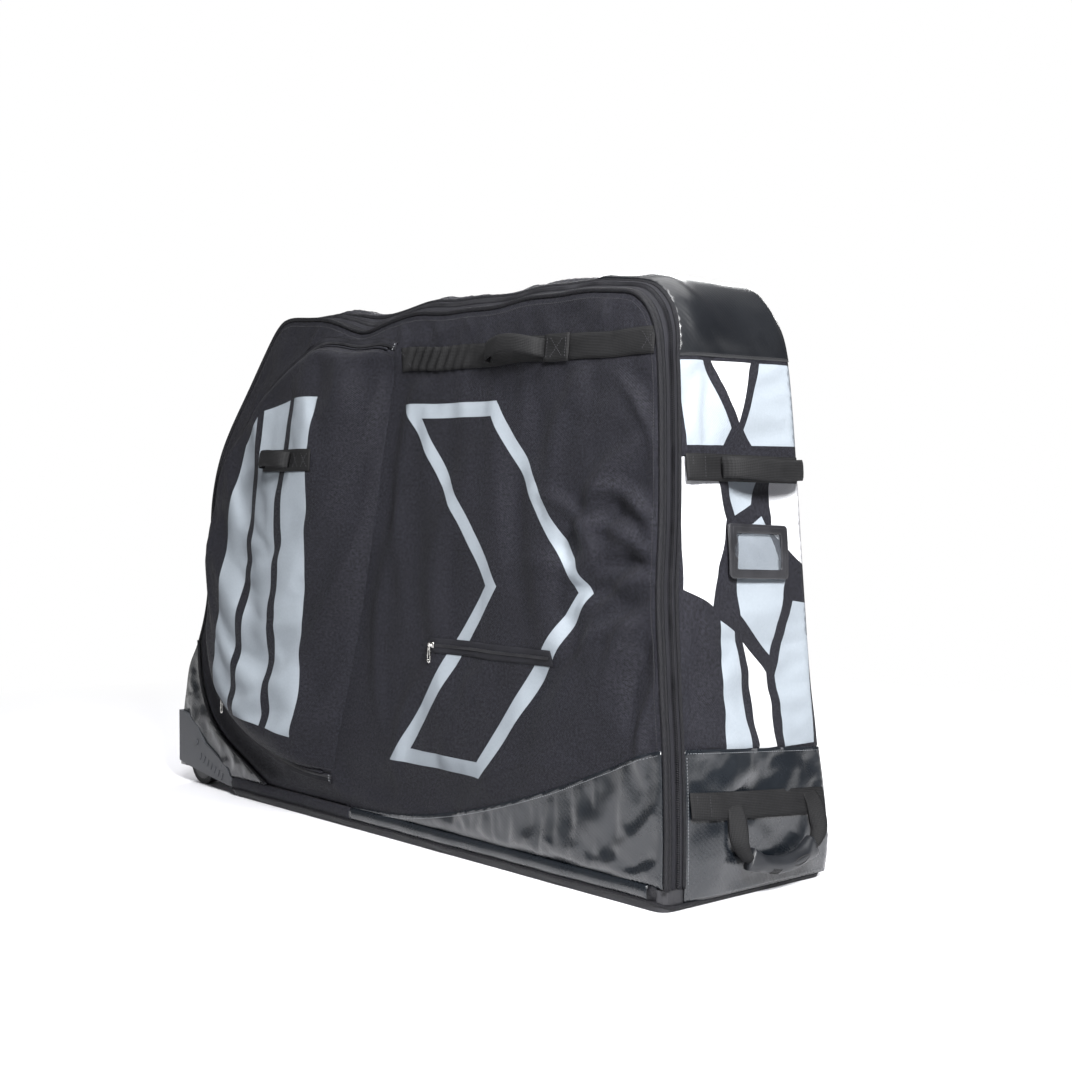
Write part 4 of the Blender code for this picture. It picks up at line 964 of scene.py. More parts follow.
def make_materials():
    make_groups()
    MATERIALS.update(
        cloth=woven(
            "woven_cloth_black", paint("cloth"), paint("cloth_thread_glint"), 0.56,
            sheen=0.02, fleck=0.6, shine=0.16,
        ),
        lining=woven("lining_cloth", (40, 40, 46), (66, 66, 74), pitch=0.0008, shine=0.1),
        print=woven("pale_grey_print", *tones("printed", 18), 0.6, fleck=0.35),
        white=woven("white_print", *tones("white", 10), 0.6, fleck=0.3),
        coated=coated("coated_cloth_slate", *tones("coated", 9)),
        # The cap's colour, darker than the coated patches, paints the dark reflection that its middle shows
        smooth=coated("coated_cloth_smooth", *tones("cap", 10), 12.0, 0.03, 0.3, 0.2),
        webbing=ribbed("webbing_black", *tones("webbing", 25)),
        piping=woven("piping_black", *tones("piping", 30), 0.5, pitch=0.0009, fleck=0.4),
        tape=ribbed("zip_tape_black", (12, 12, 15), (48, 48, 54), 0.0016),
        teeth=moulded("zip_teeth_black", (26, 26, 29), (54, 54, 58), 0.4),
        thread=moulded("thread_grey", (112, 114, 118), (150, 152, 156), 0.7),
        dark_thread=moulded("thread_black", (40, 40, 43), (66, 66, 70), 0.6),
        silver=moulded("silver_plate", *tones("metal", 30), 0.22, 300, 0.0001, 1.0),
        guard=moulded("guard_grey", *tones("guard", 20), 0.42, 1400, 0.0003),
        base=moulded("base_black", (30, 30, 33), (48, 48, 52), 0.5, 700, 0.0003),
        board=moulded("board_grey", (84, 84, 86), (100, 100, 102), 0.6),
        foam=woven("foam_facing", (56, 56, 60), (78, 78, 82), pitch=0.002, sheen=0.15),
        rubber=moulded("grip_rubber_slate", *tones("grip", 14), 0.42, 1600, 0.0003),
        tyre=moulded("tyre_black", (26, 26, 27), (44, 44, 45), 0.7, 1200, 0.0003),
        hub=moulded("hub_black", (52, 52, 54), (70, 70, 72), 0.5),
        steel=moulded("axle_steel_bright", (180, 180, 182), (206, 206, 208), 0.3, 500, 0.0001, 1.0),
        tag=moulded("tag_black", (34, 34, 37), (54, 54, 58), 0.3, 1200, 0.0002),
        window=moulded("tag_clear", (120, 126, 134), (150, 156, 164), 0.06, 60, 0.0004, alpha=0.16),
    )


KEPT = {
    "base_tray": "base", "base_board": "board", "axle_near": "steel", "axle_far": "steel",
    "wheel_hub_near": "hub", "wheel_hub_far": "hub", "wheel_tyre_near": "tyre", "wheel_tyre_far": "tyre",
    "corner_guard_near": "guard", "corner_guard_far": "guard", "wheel_end_floor": "base",
}


def dress_kept():
    """Gives the solids that stay in view their finishes."""
    for node, key in KEPT.items():
        for s in frame["nodes"][node].material_slots:
            s.material = MATERIALS[key]


# The door side's surface
DOOR_BOX = (-0.68, 0.68, -0.02, 0.88)


def creased(points, held):
    """The folds, dents and ripples in the door's cloth at places on it."""
    px, py = points.T
    slack = 0.35 + 0.65 * smoothstep(px, 0.28, 0.50)
    soft = ripple(points, 8.0, 1) * 0.0040 * slack + ripple(points, 21, 2) * 0.0018 * slack
    for cx, cy, angle, length, width, height in CREASES:
        along = (px - cx) * math.cos(angle) + (py - cy) * math.sin(angle)
        across = -(px - cx) * math.sin(angle) + (py - cy) * math.cos(angle)
        across = across + 0.25 * along**2 / length
        ridge = fold(across, width) - 0.35 * fold(across - 2.2 * width, 1.6 * width)
        soft = soft + sizes().creasing * height * fold(along, length) * ridge
    strap = smoothstep(np.abs(py - STRAP_LEVEL), 0.018, 0.050) + (px < 0.0)
    return np.clip(soft, -0.010, 0.013) * np.clip(strap, 0.15, 1.0) * held


def make_door_field():
    """How far the door's cloth stands out of its plane, on a grid."""

    def swelling(depth):
        return 0.0050 * smoothstep(depth, 0.0, 0.14) - 0.0035 * fold(depth, 0.007)

    x, y, points, depth = grid_in(DOOR_EDGE, DOOR_BOX, 0.008)
    px, py = points.T
    strap = (np.abs(py - STRAP_LEVEL) < 0.019) & (px > STRAP_X[0]) & (px < STRAP_X[1])
    loose = (depth > 0.009) & ~strap
    settling = simulated(x, y, swelling(depth), loose, 0.0065, 0.05, 0.007, 3, bending=1.6, pull=0.05)
    coarse = Field(x, y, settling * smoothstep(depth, 0.0, 0.03))
    x, y, points, depth = grid_in(DOOR_EDGE, DOOR_BOX, 0.004)
    rim = edge_distance(points, POCKET_LINE, closed=False)
    lift = 0.010 * fold(rim, 0.026) * smoothstep(depth, 0.0, 0.025)
    held = smoothstep(depth, 0.0, 0.035) * (1 - 0.8 * fold(rim, 0.020))
    FIELDS["door"] = Field(x, y, swelling(depth) + lift + coarse(*points.T) + creased(points, held))


def on_door(x, s, out=0.0):
    return on_side(x, s, FIELDS["door"](x, s) + out)


def seam_distance(p):
    """How far places lie from the pocket's sewn edge."""
    way = unit(POCKET_LINE[-1] - POCKET_LINE[0])
    return np.abs((p - POCKET_LINE[0]) @ np.array([way[1], -way[0]]))


def pocket_form(p):
    """The pocket's rounded form over the door's cloth."""
    depth = edge_distance(p, POCKET_LINE, closed=False)
    seam = seam_distance(p)
    rise = 1 - (1 - np.clip(depth / 0.060, 0, 1)) ** 2.4
    ramp = smoothstep(seam, -0.02, POCKET_RAMP) * smoothstep(seam, 0.0, 0.03)
    px, py = p.T
    full = smoothstep(depth, 0.01, 0.07) * smoothstep(seam, 0.0, 0.08)
    waves = 0.0035 * np.sin(px * 46 + np.sin(py * 7) * 0.9) * smoothstep(py, 0.52, 0.74)
    waves += 0.0035 * np.sin((px * 0.7 - py) * 44) * smoothstep(0.24 - py, 0.0, 0.10)
    return sizes().pocket_proud * rise**0.62 * ramp + full * (waves + ripple(p, 6, 5) * 0.005)


def make_pocket_field():
    """How the pocket's cloth has settled over its rounded form, on a grid."""
    x, y, points, depth = grid_in(POCKET_LINE, (-0.56, 0.06, 0.02, 0.84), 0.008)
    loose = depth > 0.012
    settling = simulated(x, y, pocket_form(points), loose, 0.012, 0.15, 0.009, 5, bending=1.0, pull=0.10)
    FIELDS["pocket"] = Field(x, y, settling * smoothstep(depth, 0.0, 0.03))


def on_pocket(x, s, out=0.0):
    """World places on the pocket's cloth, which stands out of the door's."""
    p = np.stack([np.ravel(x), np.ravel(s)], 1)
    seam = seam_distance(p)
    rise = pocket_form(p) + FIELDS["pocket"](*p.T) * smoothstep(seam, 0.0, 0.04) - 0.0030 * fold(seam, 0.006)
    return on_door(x, s, rise.reshape(np.shape(x)) + 0.0012 + out)


# Sewn pieces
def stitches(name, place, line, out, body, key="thread"):
    """A row of stitches along a line in the flat, laid on a surface."""
    pitch = sizes().stitch_pitch
    t = np.arange(pitch, line.length - pitch / 2, pitch)
    p, d = line.place(t), line.direction(t)
    centre = place(p[:, 0], p[:, 1], out)

    def towards(way):
        ahead = p + way * 0.001
        return unit(place(ahead[:, 0], ahead[:, 1], out) - centre)

    along, across = towards(d), towards(np.stack([-d[:, 1], d[:, 0]], 1))
    up = unit(np.cross(along, across))
    return settled(blocks(name, centre, along, across, up, STITCH, key, TAPER), body)


def tacks(name, place, points, out, body, tag=""):
    """Straight rows of dark stitches, each given by its two ends."""
    for k, ends in enumerate(points):
        stitches(f"{name}_{k}{tag}", place, Line(ends), out, body, key="dark_thread")


def crossed(x, s, wide, tall):
    """The ends of two crossed rows about a place."""
    return [[(x - wide, s - tall * turn), (x + wide, s + tall * turn)] for turn in (-1, 1)]


def hump(end, rise, foot):
    """A loop's height along it: foot at both ends, and risen between."""
    t = np.linspace(0, 1, 24)
    return t * end, foot + rise * np.sin(t * math.pi) ** 0.45


def strap_mesh(name, place, line, out, width, thick, wave=0.0004, droop=0.0, folds=None, key="webbing"):
    """Flat webbing along a line of (x, up the side) with a height over the cloth at each point.

    folds is (middle, half length, height) of a slack stretch with slanted folds."""
    t = line.even(0.003 if folds else 0.004)
    height = np.interp(t, *out) if isinstance(out, tuple) else np.full(len(t), out)
    n = line.outward(t)
    p = line.place(t) + n * (droop * np.sin(t / line.length * math.pi))[:, None]
    rows = np.linspace(-width / 2, width / 2, 7)
    top, low = [], []
    for r in rows:
        q = p + n * r
        bend = wave * np.sin(t * 130 + r * 60) * np.sin(t * 37 + 1) + wave * 0.6 * np.sin(t * 71 + r * 90)
        if folds:
            bend = bend + folds[2] * fold(t - folds[0], folds[1]) * np.sin((t + r * 0.45) * 145) ** 4
        round_off = thick * 0.35 * (abs(r) / (width / 2)) ** 4
        top.append(place(q[:, 0], q[:, 1], height + bend + thick - round_off))
        low.append(place(q[:, 0], q[:, 1], height + bend + round_off))
    v = slumped(np.stack([*top, *low[::-1]], 1))
    return tubed(name, v, key, pairs(t, np.concatenate([rows, rows[::-1]])))


def webbing(name, place, x, s, out, body, node, width=None, thick=None, **more):
    """A level strap sewn to a body, of the long straps' webbing if no size is given."""
    width, thick = width or sizes().webbing_width, thick or sizes().webbing_thickness
    o = strap_mesh(name, place, Line([(x[0], s), (x[1], s)]), out, width, thick, **more)
    return settled(o, body, "webbing", node)


def cord(name, path, radius, normal, body, *nodes):
    """Piping sewn to a body."""
    return settled(tube(name, path, radius, normal, "piping"), body, "piping", *nodes)


# Pieces
def build_door():
    make_door_field()
    outer, inner = stroked(leaned(ARROW), sizes().stroke)
    o = sheet("door_cloth", DOOR_EDGE, on_door, "cloth print", 0.0060, marks=[(outer, 1), (inner, 0)])
    thickened(o, sizes().padding, lined=True)
    settled(o, "door", "woven_cloth", "door_panel", padded=0.4)

    edge = side_curve(KICK_EDGE)
    side = SIDE.beside(np.linspace(0.004, SIDE.found(edge[-1][1], 120), 30), -0.004)
    kick = np.vstack([edge[::-1], [[edge[0][0], 0.002]], [[side[0][0], 0.002]], side[1:]])
    x, y, points, depth = grid_in(kick, (-0.10, 0.67, -0.01, 0.24), 0.005)
    base = FIELDS["door"](*points.T)
    settling = simulated(x, y, base, depth > 0.006, 0.030, 0.25, 0.008, 7, bending=0.8, pull=0.3)
    settling = np.maximum(settling, -0.0006) + 0.0004 * ripple(points, 45, 9, 1)
    FIELDS["kick"] = Field(x, y, settling * smoothstep(depth, 0.0, 0.012))

    def on_kick(x, s, out=0.0):
        return on_door(x, s, KICK_RISE + FIELDS["kick"](x, s) + out)

    o = sheet("door_kick_cloth", kick, on_kick, "coated", 0.0048)
    thickened(o, sizes().coating)
    settled(o, "door", "coated_cloth", "door_kick_patch")
    laid(o, kick, "stretched", "door_cloth")
    stitches("kick_stitches", on_kick, Line(edge - [0, 0.006]), STITCH_RISE, "door")

    p = SIDE.beside(np.linspace(0.0, BAND_END, 420), 0.0008)
    path = on_side(p[:, 0], p[:, 1], -0.0030)
    cord("door_piping_cord", path, sizes().piping, OUT_DOOR, "door", "door_piping")
    patch = Line(PATCH_LINE)
    p = patch.place(patch.even(0.006))
    cord("patch_piping_cord", on_side(p[:, 0], p[:, 1], 0.0005), SMALL_CORD, OUT_DOOR, "door")
    rim = Line(SIDE.beside(np.linspace(0.01, BAND_END, 300), -0.011))
    stitches("door_edge_stitches", on_door, rim, STITCH_RISE, "door", key="dark_thread")


def build_pocket():
    make_pocket_field()
    marks = [(leaned(b), 1) for b in BARS]
    o = sheet("pocket_cloth", POCKET_LINE, on_pocket, "cloth print", 0.0065, marks=marks)
    thickened(o, POCKET_CLOTH, lined=True)
    settled(o, "pocket_cover", "woven_cloth", "pocket_cover", padded=0.5)

    line = Line(POCKET_LINE)
    t = np.linspace(ZIP_END, line.length - ZIP_END, 340)
    lip, binding, ribbon = (line.beside(t, away) for away in (0.0004, 0.0150, 0.008))
    path = on_door(*lip[5:-5].T, 0.0034)
    settled(tube("pocket_lip", path, LIP_CORD, OUT_DOOR, "cloth"), "pocket_cover")
    path = on_door(*binding.T, 0.0012)
    settled(tube("pocket_zip_binding", path, BINDING_CORD, OUT_DOOR, "piping"), "door")
    across, up = turned(line.outward(t)), np.repeat(OUT_DOOR[None], len(t), 0)
    section = [(-0.007, 0.0002), (-0.007, 0.0012), (0.007, 0.0012), (0.007, 0.0002)]
    o = swept("pocket_zip_ribbon", on_door(*ribbon.T), across, up, section, "tape")
    settled(o, "door", "zip_tape", "pocket_zip_tape")

    t = np.arange(ZIP_END, line.length - ZIP_END, POCKET_TOOTH_PITCH)
    centre = on_door(*line.beside(t, 0.006).T, 0.0018)
    along, across = turned(line.direction(t)), turned(line.outward(t))
    o = blocks("pocket_zip_coil", centre, along, across, OUT_DOOR, POCKET_TOOTH, "teeth", TEETH_TAPER)
    settled(o, "door", "zip_teeth", "pocket_zip_chain")
    inner = Line(line.beside(line.even(0.01), -0.007))
    stitches("pocket_stitches", on_pocket, inner, 0.0003, "pocket_cover", key="dark_thread")
    for end, at in (("top", 0.008), ("foot", line.length - 0.008)):
        q, away, way = line.place(at), line.outward(at), line.direction(at)
        for k, label in ((-1, "lower"), (1, "upper")):
            tack = Line([q + way * k * 0.001 - away * 0.001, q + way * k * 0.001 + away * 0.0155])
            stitches(f"pocket_bar_tack_{end}_{label}", on_door, tack, TACK_RISE, "door")


def on_far(x, s, out=0.0):
    return on_side(x, s, FIELDS["far"](x, s) + out, True)


def build_far_side():
    rim = SIDE.beside(np.linspace(0.002, SIDE.length, 300), -0.0025)
    edge = np.vstack([[[rim[0][0], DOOR_FOOT]], rim, [[rim[-1][0], DOOR_FOOT]]])
    outer, inner = stroked(leaned(ARROW), sizes().stroke)
    x, y, points, depth = grid_in(edge, DOOR_BOX, 0.010)
    base = 0.0050 * smoothstep(depth, 0, 0.16) - 0.004 * fold(depth, 0.008)
    settling = simulated(x, y, base, depth > 0.01, 0.0065, 0.05, 0.007, 13, bending=1.6, pull=0.05)
    settling += ripple(points, 5, 21) * 0.003
    FIELDS["far"] = Field(x, y, base + settling * smoothstep(depth, 0, 0.04))
    marks = [(outer, 1), (inner, 0)]
    o = sheet("far_side_cloth", edge, on_far, "cloth print", 0.010, marks=marks, flip=True)
    thickened(o, sizes().padding, lined=True)
    settled(o, "shell", "woven_cloth", "side_panel_far", padded=0.4)

    t = np.linspace(0.0, SIDE.length, 420)
    path = on_side(*SIDE.beside(t, -0.0035).T, -0.0015, True)
    cord("far_piping_cord", path, SMALL_CORD, OUT_FAR, "shell", "piping_far")
    ring = [(0.0010, -0.0150), (0.0020, -0.0162), (0.0165, -0.0136), (0.0155, -0.0122)]
    v = [on_side(*SIDE.beside(t, -depth).T, out, True) for depth, out in ring]
    settled(tubed("far_seam_binding", np.stack(v, 1), "piping"), "shell", "piping")

    back = SIDE.place(np.linspace(SIDE_SEAMS["nose"], SIDE.length, 40))[::-1][:-1]
    edge = np.vstack([PATCH_LINE, [[SIDE.points[-1][0], 0.003]], back])
    x, y, points, depth = grid_in(edge, (-0.67, -0.33, -0.01, 0.27), 0.006)
    base = np.zeros(len(points))
    settling = simulated(x, y, base, depth > 0.008, 0.030, 0.3, 0.008, 17, bending=0.8, pull=0.3)
    settling = Field(x, y, np.maximum(settling, -0.0008) * smoothstep(depth, 0, 0.012))
    for label, far, under in (("near", False, "corner_guard_near"), ("far", True, "far_side_cloth")):
        def place(x, s, far=far):
            out = 0.0024 + np.maximum(FIELDS["far"](x, s), 0.0) if far else KICK_RISE
            return on_side(x, s, out + settling(x, s), far)

        o = sheet("wheel_corner_cloth_" + label, edge, place, "coated", 0.0055, flip=far)
        thickened(o, sizes().coating)
        settled(o, "shell", "coated_cloth", "wheel_corner_patch_" + label)
        laid(o, edge, "stretched", under)


STRAP_FOLDS = (0.075, 0.085, 0.0065)


def build_straps():
    s = STRAP_LEVEL
    for tag, place, body in (("", on_door, "door"), ("_far", on_far, "shell")):
        node = "carry_strap" + tag
        webbing("side_webbing" + tag, place, STRAP_X, s, STRAP_RISE, body, node, folds=STRAP_FOLDS)
        node = "carry_loop" + tag
        x, rise = (0.258, 0.384), hump(0.126, sizes().handle_rise, 0.004)
        webbing("side_handle" + tag, place, x, s, rise, body, node, 0.027, 0.0055, droop=-0.006)
        for k, x in enumerate((0.046, 0.250, 0.588)):
            tacks(f"strap_cross_{k}", place, crossed(x, s, 0.012, 0.014), CROSS_RISE, body, tag)
    lift = (np.array([0, 0.004, 0.049, 0.053]), np.array([0.003, 0.0046, 0.0046, 0.003]))
    webbing("handle_keeper", on_door, (0.380, 0.433), s, lift, "door", "carry_keeper", 0.041, 0.0022)
    tacks("keeper_cross", on_door, crossed(0.409, s, 0.015, 0.016), KEEPER_RISE, "door")
    ends = [[(x, s - 0.017), (x, s + 0.017)] for x in (0.388, 0.428)]
    tacks("keeper_side", on_door, ends, KEEPER_RISE, "door")

    def place(x, s, out):
        return on_pocket(x, s, out + 0.0003)

    s = POCKET_STRAP_LEVEL
    body = "pocket_cover"
    webbing("pocket_webbing", place, (-0.310, -0.150), s, 0.0, body, "pocket_strap", wave=0.0006)
    x, rise = (-0.303, -0.209), hump(0.094, 0.026, 0.003)
    webbing("pocket_handle", place, x, s, rise, body, "pocket_loop", 0.028, 0.0050, droop=-0.003)
    for k, x in enumerate((-0.190, -0.165)):
        tacks(f"pocket_cross_{k}", place, crossed(x, s, 0.010, 0.014), 0.0022, body)


def build_slit():
    line = Line([(0.13, SLIT_LEVEL), (0.415, SLIT_LEVEL)])
    tape = strap_mesh("slit_zip_tape", on_door, line, 0.0004, 0.024, 0.001, 0.0, key="tape")
    t = np.arange(ZIP_END, line.length - ZIP_END, SLIT_TOOTH_PITCH)
    along, across = turned((1.0, 0.0)), turned((0.0, 1.0))
    centre = on_door(*line.place(t).T, 0.002)
    coil = blocks("slit_zip_coil", centre, along, across, OUT_DOOR, SLIT_TOOTH, "teeth")
    settled(joined("slit_zip_closed", [tape, coil]), "door", "zip_tape", "slit_zip")


def crown(t, across):
    """How far the shell swells out along the outline, at a share of its width from the door."""
    a = STARTS
    cap, nose = a["cap"], a["nose"]
    over = np.interp(
        t,
        [cap, cap + 0.03, cap + 0.07, cap + 0.14, a["top"], nose - 0.45, nose - 0.14, nose, nose + 0.15],
        [0.0, 0.006, 0.014, 0.022, 0.025, 0.031, 0.026, 0.006, 0.0],
    )
    end = np.interp(
        t, [-0.02, 0.0, 0.03, 0.08, 0.16, a["end"], cap, cap + 0.12],
        [0.006, 0.010, 0.015, 0.013, 0.008, 0.008, 0.009, 0.004],
    )
    end = np.where(t > nose, 0.004 * smoothstep(t, nose, nose + 0.2), end * (t < a["top"]))
    far = 0.30 - 0.18 * smoothstep(a["top"] + 0.10 - t, 0.0, 0.10)
    top_form = smoothstep(across, 0.0, 0.20) * smoothstep((1 - across) / far, 0.0, 1.0)
    end_form = smoothstep(across, 0.10, 0.30) * (1 - 0.6 * fold(1 - across, 0.012))
    return over * top_form + end * end_form


def on_gusset(t, y, out=0.0):
    """World places round the bag: along its outline, across it, and out of it."""
    p, n = OUTLINE.place(t), OUTLINE.outward(t, 0.02)
    down = np.minimum(np.asarray(t), 0.0)
    w = half_width(p[..., 1])
    q = p + n * (np.asarray(out) + crown(t, (y + w) / (2 * w)))[..., None]
    return np.stack([q[..., 0] + down * 0.05, y, q[..., 1] + down], -1)


def gusset_edge(start, end):
    """The flat outline of a stretch of the gusset, between the zip band and the far side."""
    t = np.linspace(start, end, max(8, int((end - start) / 0.012)))
    half = half_width(OUTLINE.place(t)[:, 1])
    return np.vstack([np.stack([t, GUSSET_NEAR - half], 1), np.stack([t, half - GUSSET_FAR], 1)[::-1]])


# The shell's stretches: solid, finish, how much further each starts and ends, lift off the surface,
# slack and pressure. The pieces are named after them.
SHELL = {
    "end": ("end_panel", "cloth", -0.034, 0.012, 0.0, 0.010, 0.05),
    "end_kick": ("end_kick_panel", "coated", -0.022, 0.0, 0.0022, 0.030, 0.3),
    "cap": ("top_cap", "smooth", 0.0, 0.0, 0.0016, 0.003, 0.1),
    "top": ("top_gusset", "cloth", -0.012, 0.0, 0.0, 0.016, 0.1),
    "nose": ("nose_gusset", "cloth", 0.0, 0.0, 0.0, 0.010, 0.1),
    "wheel_end": ("wheel_end_panel", "coated", 0.0, 0.0, 0.001, 0.010, 0.1),
}
RESTS_ON = {"end_kick": "base_tray", "cap": "end_cloth", "wheel_end": "wheel_end_floor"}


def tilted(y, key, middle=0.13):
    """How far down a slanted seam or strap on the tall end lies at a place across it."""
    return END_TILT[key] * (y + middle) / TILT_SPAN


def build_shell():
    facets = [(np.array([(OUTLINE.found(z, 80), y) for z, y in f]), k) for k, f in FACETS]
    for stretch, (node, key, before, after, lift, slack, pressure) in SHELL.items():
        name = ("top_cap" if stretch == "cap" else stretch) + "_cloth"
        soft = key == "cloth"
        start, end = STARTS[stretch] + before, SEAMS[stretch] + after
        edge = gusset_edge(start, end)
        if stretch == "wheel_end":
            edge[: len(edge) // 2, 1] -= GUSSET_NEAR - GUSSET_FAR
        if stretch == "end_kick":
            edge[:, 0] -= tilted(edge[:, 1], "kick") * smoothstep(edge[:, 0], 0.05, end)
        step = 0.006
        x, y, points, depth = grid_in(edge, (start - step, end + step, -0.17, 0.17), step)
        px, py = points.T
        seed = len(name)
        base = np.zeros(len(points))
        settling = simulated(x, y, base, depth > 0.007, slack, pressure, 0.006, seed, bending=0.9, pull=0.1)
        if stretch == "end_kick":
            settling *= 0.25 + 0.75 * smoothstep(px, 0.05, 0.12)
        rough = ripple(points, 9, seed) * 0.0015
        if stretch == "top":
            rough += 0.0022 * smoothstep(-py, 0.0, 0.09) * np.sin(py * 420 + np.sin(px * 19) * 1.2)
        values = (settling + rough) * smoothstep(depth, 0.0, 0.012)
        if stretch == "end":
            seam = SEAMS["end_kick"] - tilted(py, "kick")
            values -= (0.0045 + np.maximum(values, 0)) * smoothstep(seam - px, -0.001, 0.006)
        FIELDS[stretch] = Field(x, y, values)

        def place(t, y, out=0.0, stretch=stretch, lift=lift):
            return on_gusset(t, y, FIELDS[stretch](t, y) + lift - 0.001 + out)

        spacing = 0.007 if soft else 0.0055
        marks = facets if stretch == "end" else ()
        o = sheet(name, edge, place, key + " print white", spacing, marks, flip=True)
        thickened(o, SHELL_PADDING if soft else SHELL_CLOTH, lined=True)
        settled(o, "shell", "woven_cloth" if soft else "coated_cloth", node, padded=0.3 if soft else None)
        if not soft:
            middle = Line(place(np.linspace(start, end, 60), np.zeros(60)))
            laid(o, edge, "stretched", RESTS_ON[stretch], longer=middle.length / (end - start))
        low, high = edge[:, 1].min(), edge[:, 1].max()
        if stretch == "end_kick":
            top = Line([(end - 0.005 - tilted(v, "kick"), v) for v in (low + 0.012, high - 0.012)])
            stitches("end_kick_stitches", place, top, STITCH_RISE, "shell")
            t = np.linspace(0.0, end - 0.01, 30)
            left = Line(np.stack([t, GUSSET_NEAR - half_width(OUTLINE.place(t)[:, 1]) + 0.005], 1))
            stitches("end_kick_side_stitches", place, left, STITCH_RISE, "shell")
        if stretch == "cap":
            foot = Line([(start + 0.004, low + 0.008), (start + 0.004, high - 0.008)])
            stitches("cap_stitches", place, foot, STITCH_RISE, "shell", key="dark_thread")


# The zip band's strips as places out of the side's outline and in from the door's face
ZIP_BAND = (
    ("zip_flange_door", "piping", "door", "piping", (), (
        (-0.0030, 0.0068), (-0.0034, 0.0074), (0.0000, 0.0082), (0.0014, 0.0100), (0.0015, 0.0128),
        (0.0000, 0.0146), (-0.0022, 0.0152), (-0.0036, 0.0152), (-0.0046, 0.0100),
    )),
    ("zip_ribbon_door", "tape", "door", "zip_tape", ("main_zip_tape_door",), (
        (-0.0016, 0.0150), (-0.0002, 0.0158), (0.0006, 0.0172), (-0.0004, 0.0186), (0.0006, 0.0200),
        (-0.0004, 0.0214), (-0.0002, 0.0246), (-0.0014, 0.0246),
    )),
    ("zip_ribbon_root", "tape", "shell", "zip_tape", ("main_zip_tape_root",), (
        (-0.0002, 0.0276), (-0.0004, 0.0300), (0.0007, 0.0312), (-0.0004, 0.0326), (0.0006, 0.0340),
        (-0.0004, 0.0352), (-0.0018, 0.0360), (-0.0018, 0.0276),
    )),
    ("zip_flange_root", "piping", "shell", "piping", (), (
        (-0.0022, 0.0358), (0.0004, 0.0366), (0.0020, 0.0384), (0.0018, 0.0402), (-0.0006, 0.0412),
        (-0.0034, 0.0410),
    )),
)


def build_zip_band():
    for name, key, body, slot, nodes, section in ZIP_BAND:
        settled(band(name, section, key), body, slot, *nodes)
    t = np.arange(ZIP_END, BAND_END - ZIP_END, sizes().tooth_pitch)
    along, out = turned(SIDE.direction(t)), turned(SIDE.outward(t))
    for half, depth, body, shift in (("door", 0.0243, "door", 0.0), ("root", 0.0277, "shell", 0.0015)):
        c = on_band(t, depth, 0.0012) + along * shift
        o = blocks("zip_coil_" + half, c, along, -OUT_DOOR, out, MAIN_TOOTH, "teeth", TAPER)
        settled(o, body, "zip_teeth", "main_zip_teeth_" + half)


def build_end():
    for key, z in (("mid", 0.598), ("low", 0.137)):
        w = half_width(z)
        near, far = GUSSET_NEAR - w + 0.006, w - GUSSET_FAR - 0.010

        def place(y, dt, out, t=OUTLINE.found(z, 60), key=key):
            return on_gusset(t + dt - tilted(y, key, 0.11), y, out + END_RISE)

        strap = "end_strap_" + key
        webbing("end_webbing_" + key, place, (near, far), 0.0, STITCH_RISE, "shell", strap, wave=0.0006)
        ends = [[(near + y, -0.016), (near + y, 0.016)] for y in (0.010, 0.030)]
        tacks(f"end_{key}_tack", place, ends, 0.0026, "shell")
        if key == "mid":
            y, rise = (-0.036, 0.124), hump(0.160, 0.033, 0.003)
            size = {"width": 0.030, "thick": 0.0060, "wave": 0.0003, "droop": 0.004}
            webbing("end_handle", place, y, 0.0, rise, "shell", "end_loop_mid", **size)


TAG_Y, TAG_Z = 0.037, 0.478


def rounded(width, height, radius):
    """A box's outline with round corners."""
    a = np.linspace(0, math.pi / 2, 5)
    ring = []
    for q, (sx, sy) in enumerate(((1, 1), (-1, 1), (-1, -1), (1, -1))):
        b = a + q * math.pi / 2
        x = sx * (width / 2 - radius) + radius * np.cos(b)
        y = sy * (height / 2 - radius) + radius * np.sin(b)
        ring += list(zip(x, y))
    return np.array(ring)


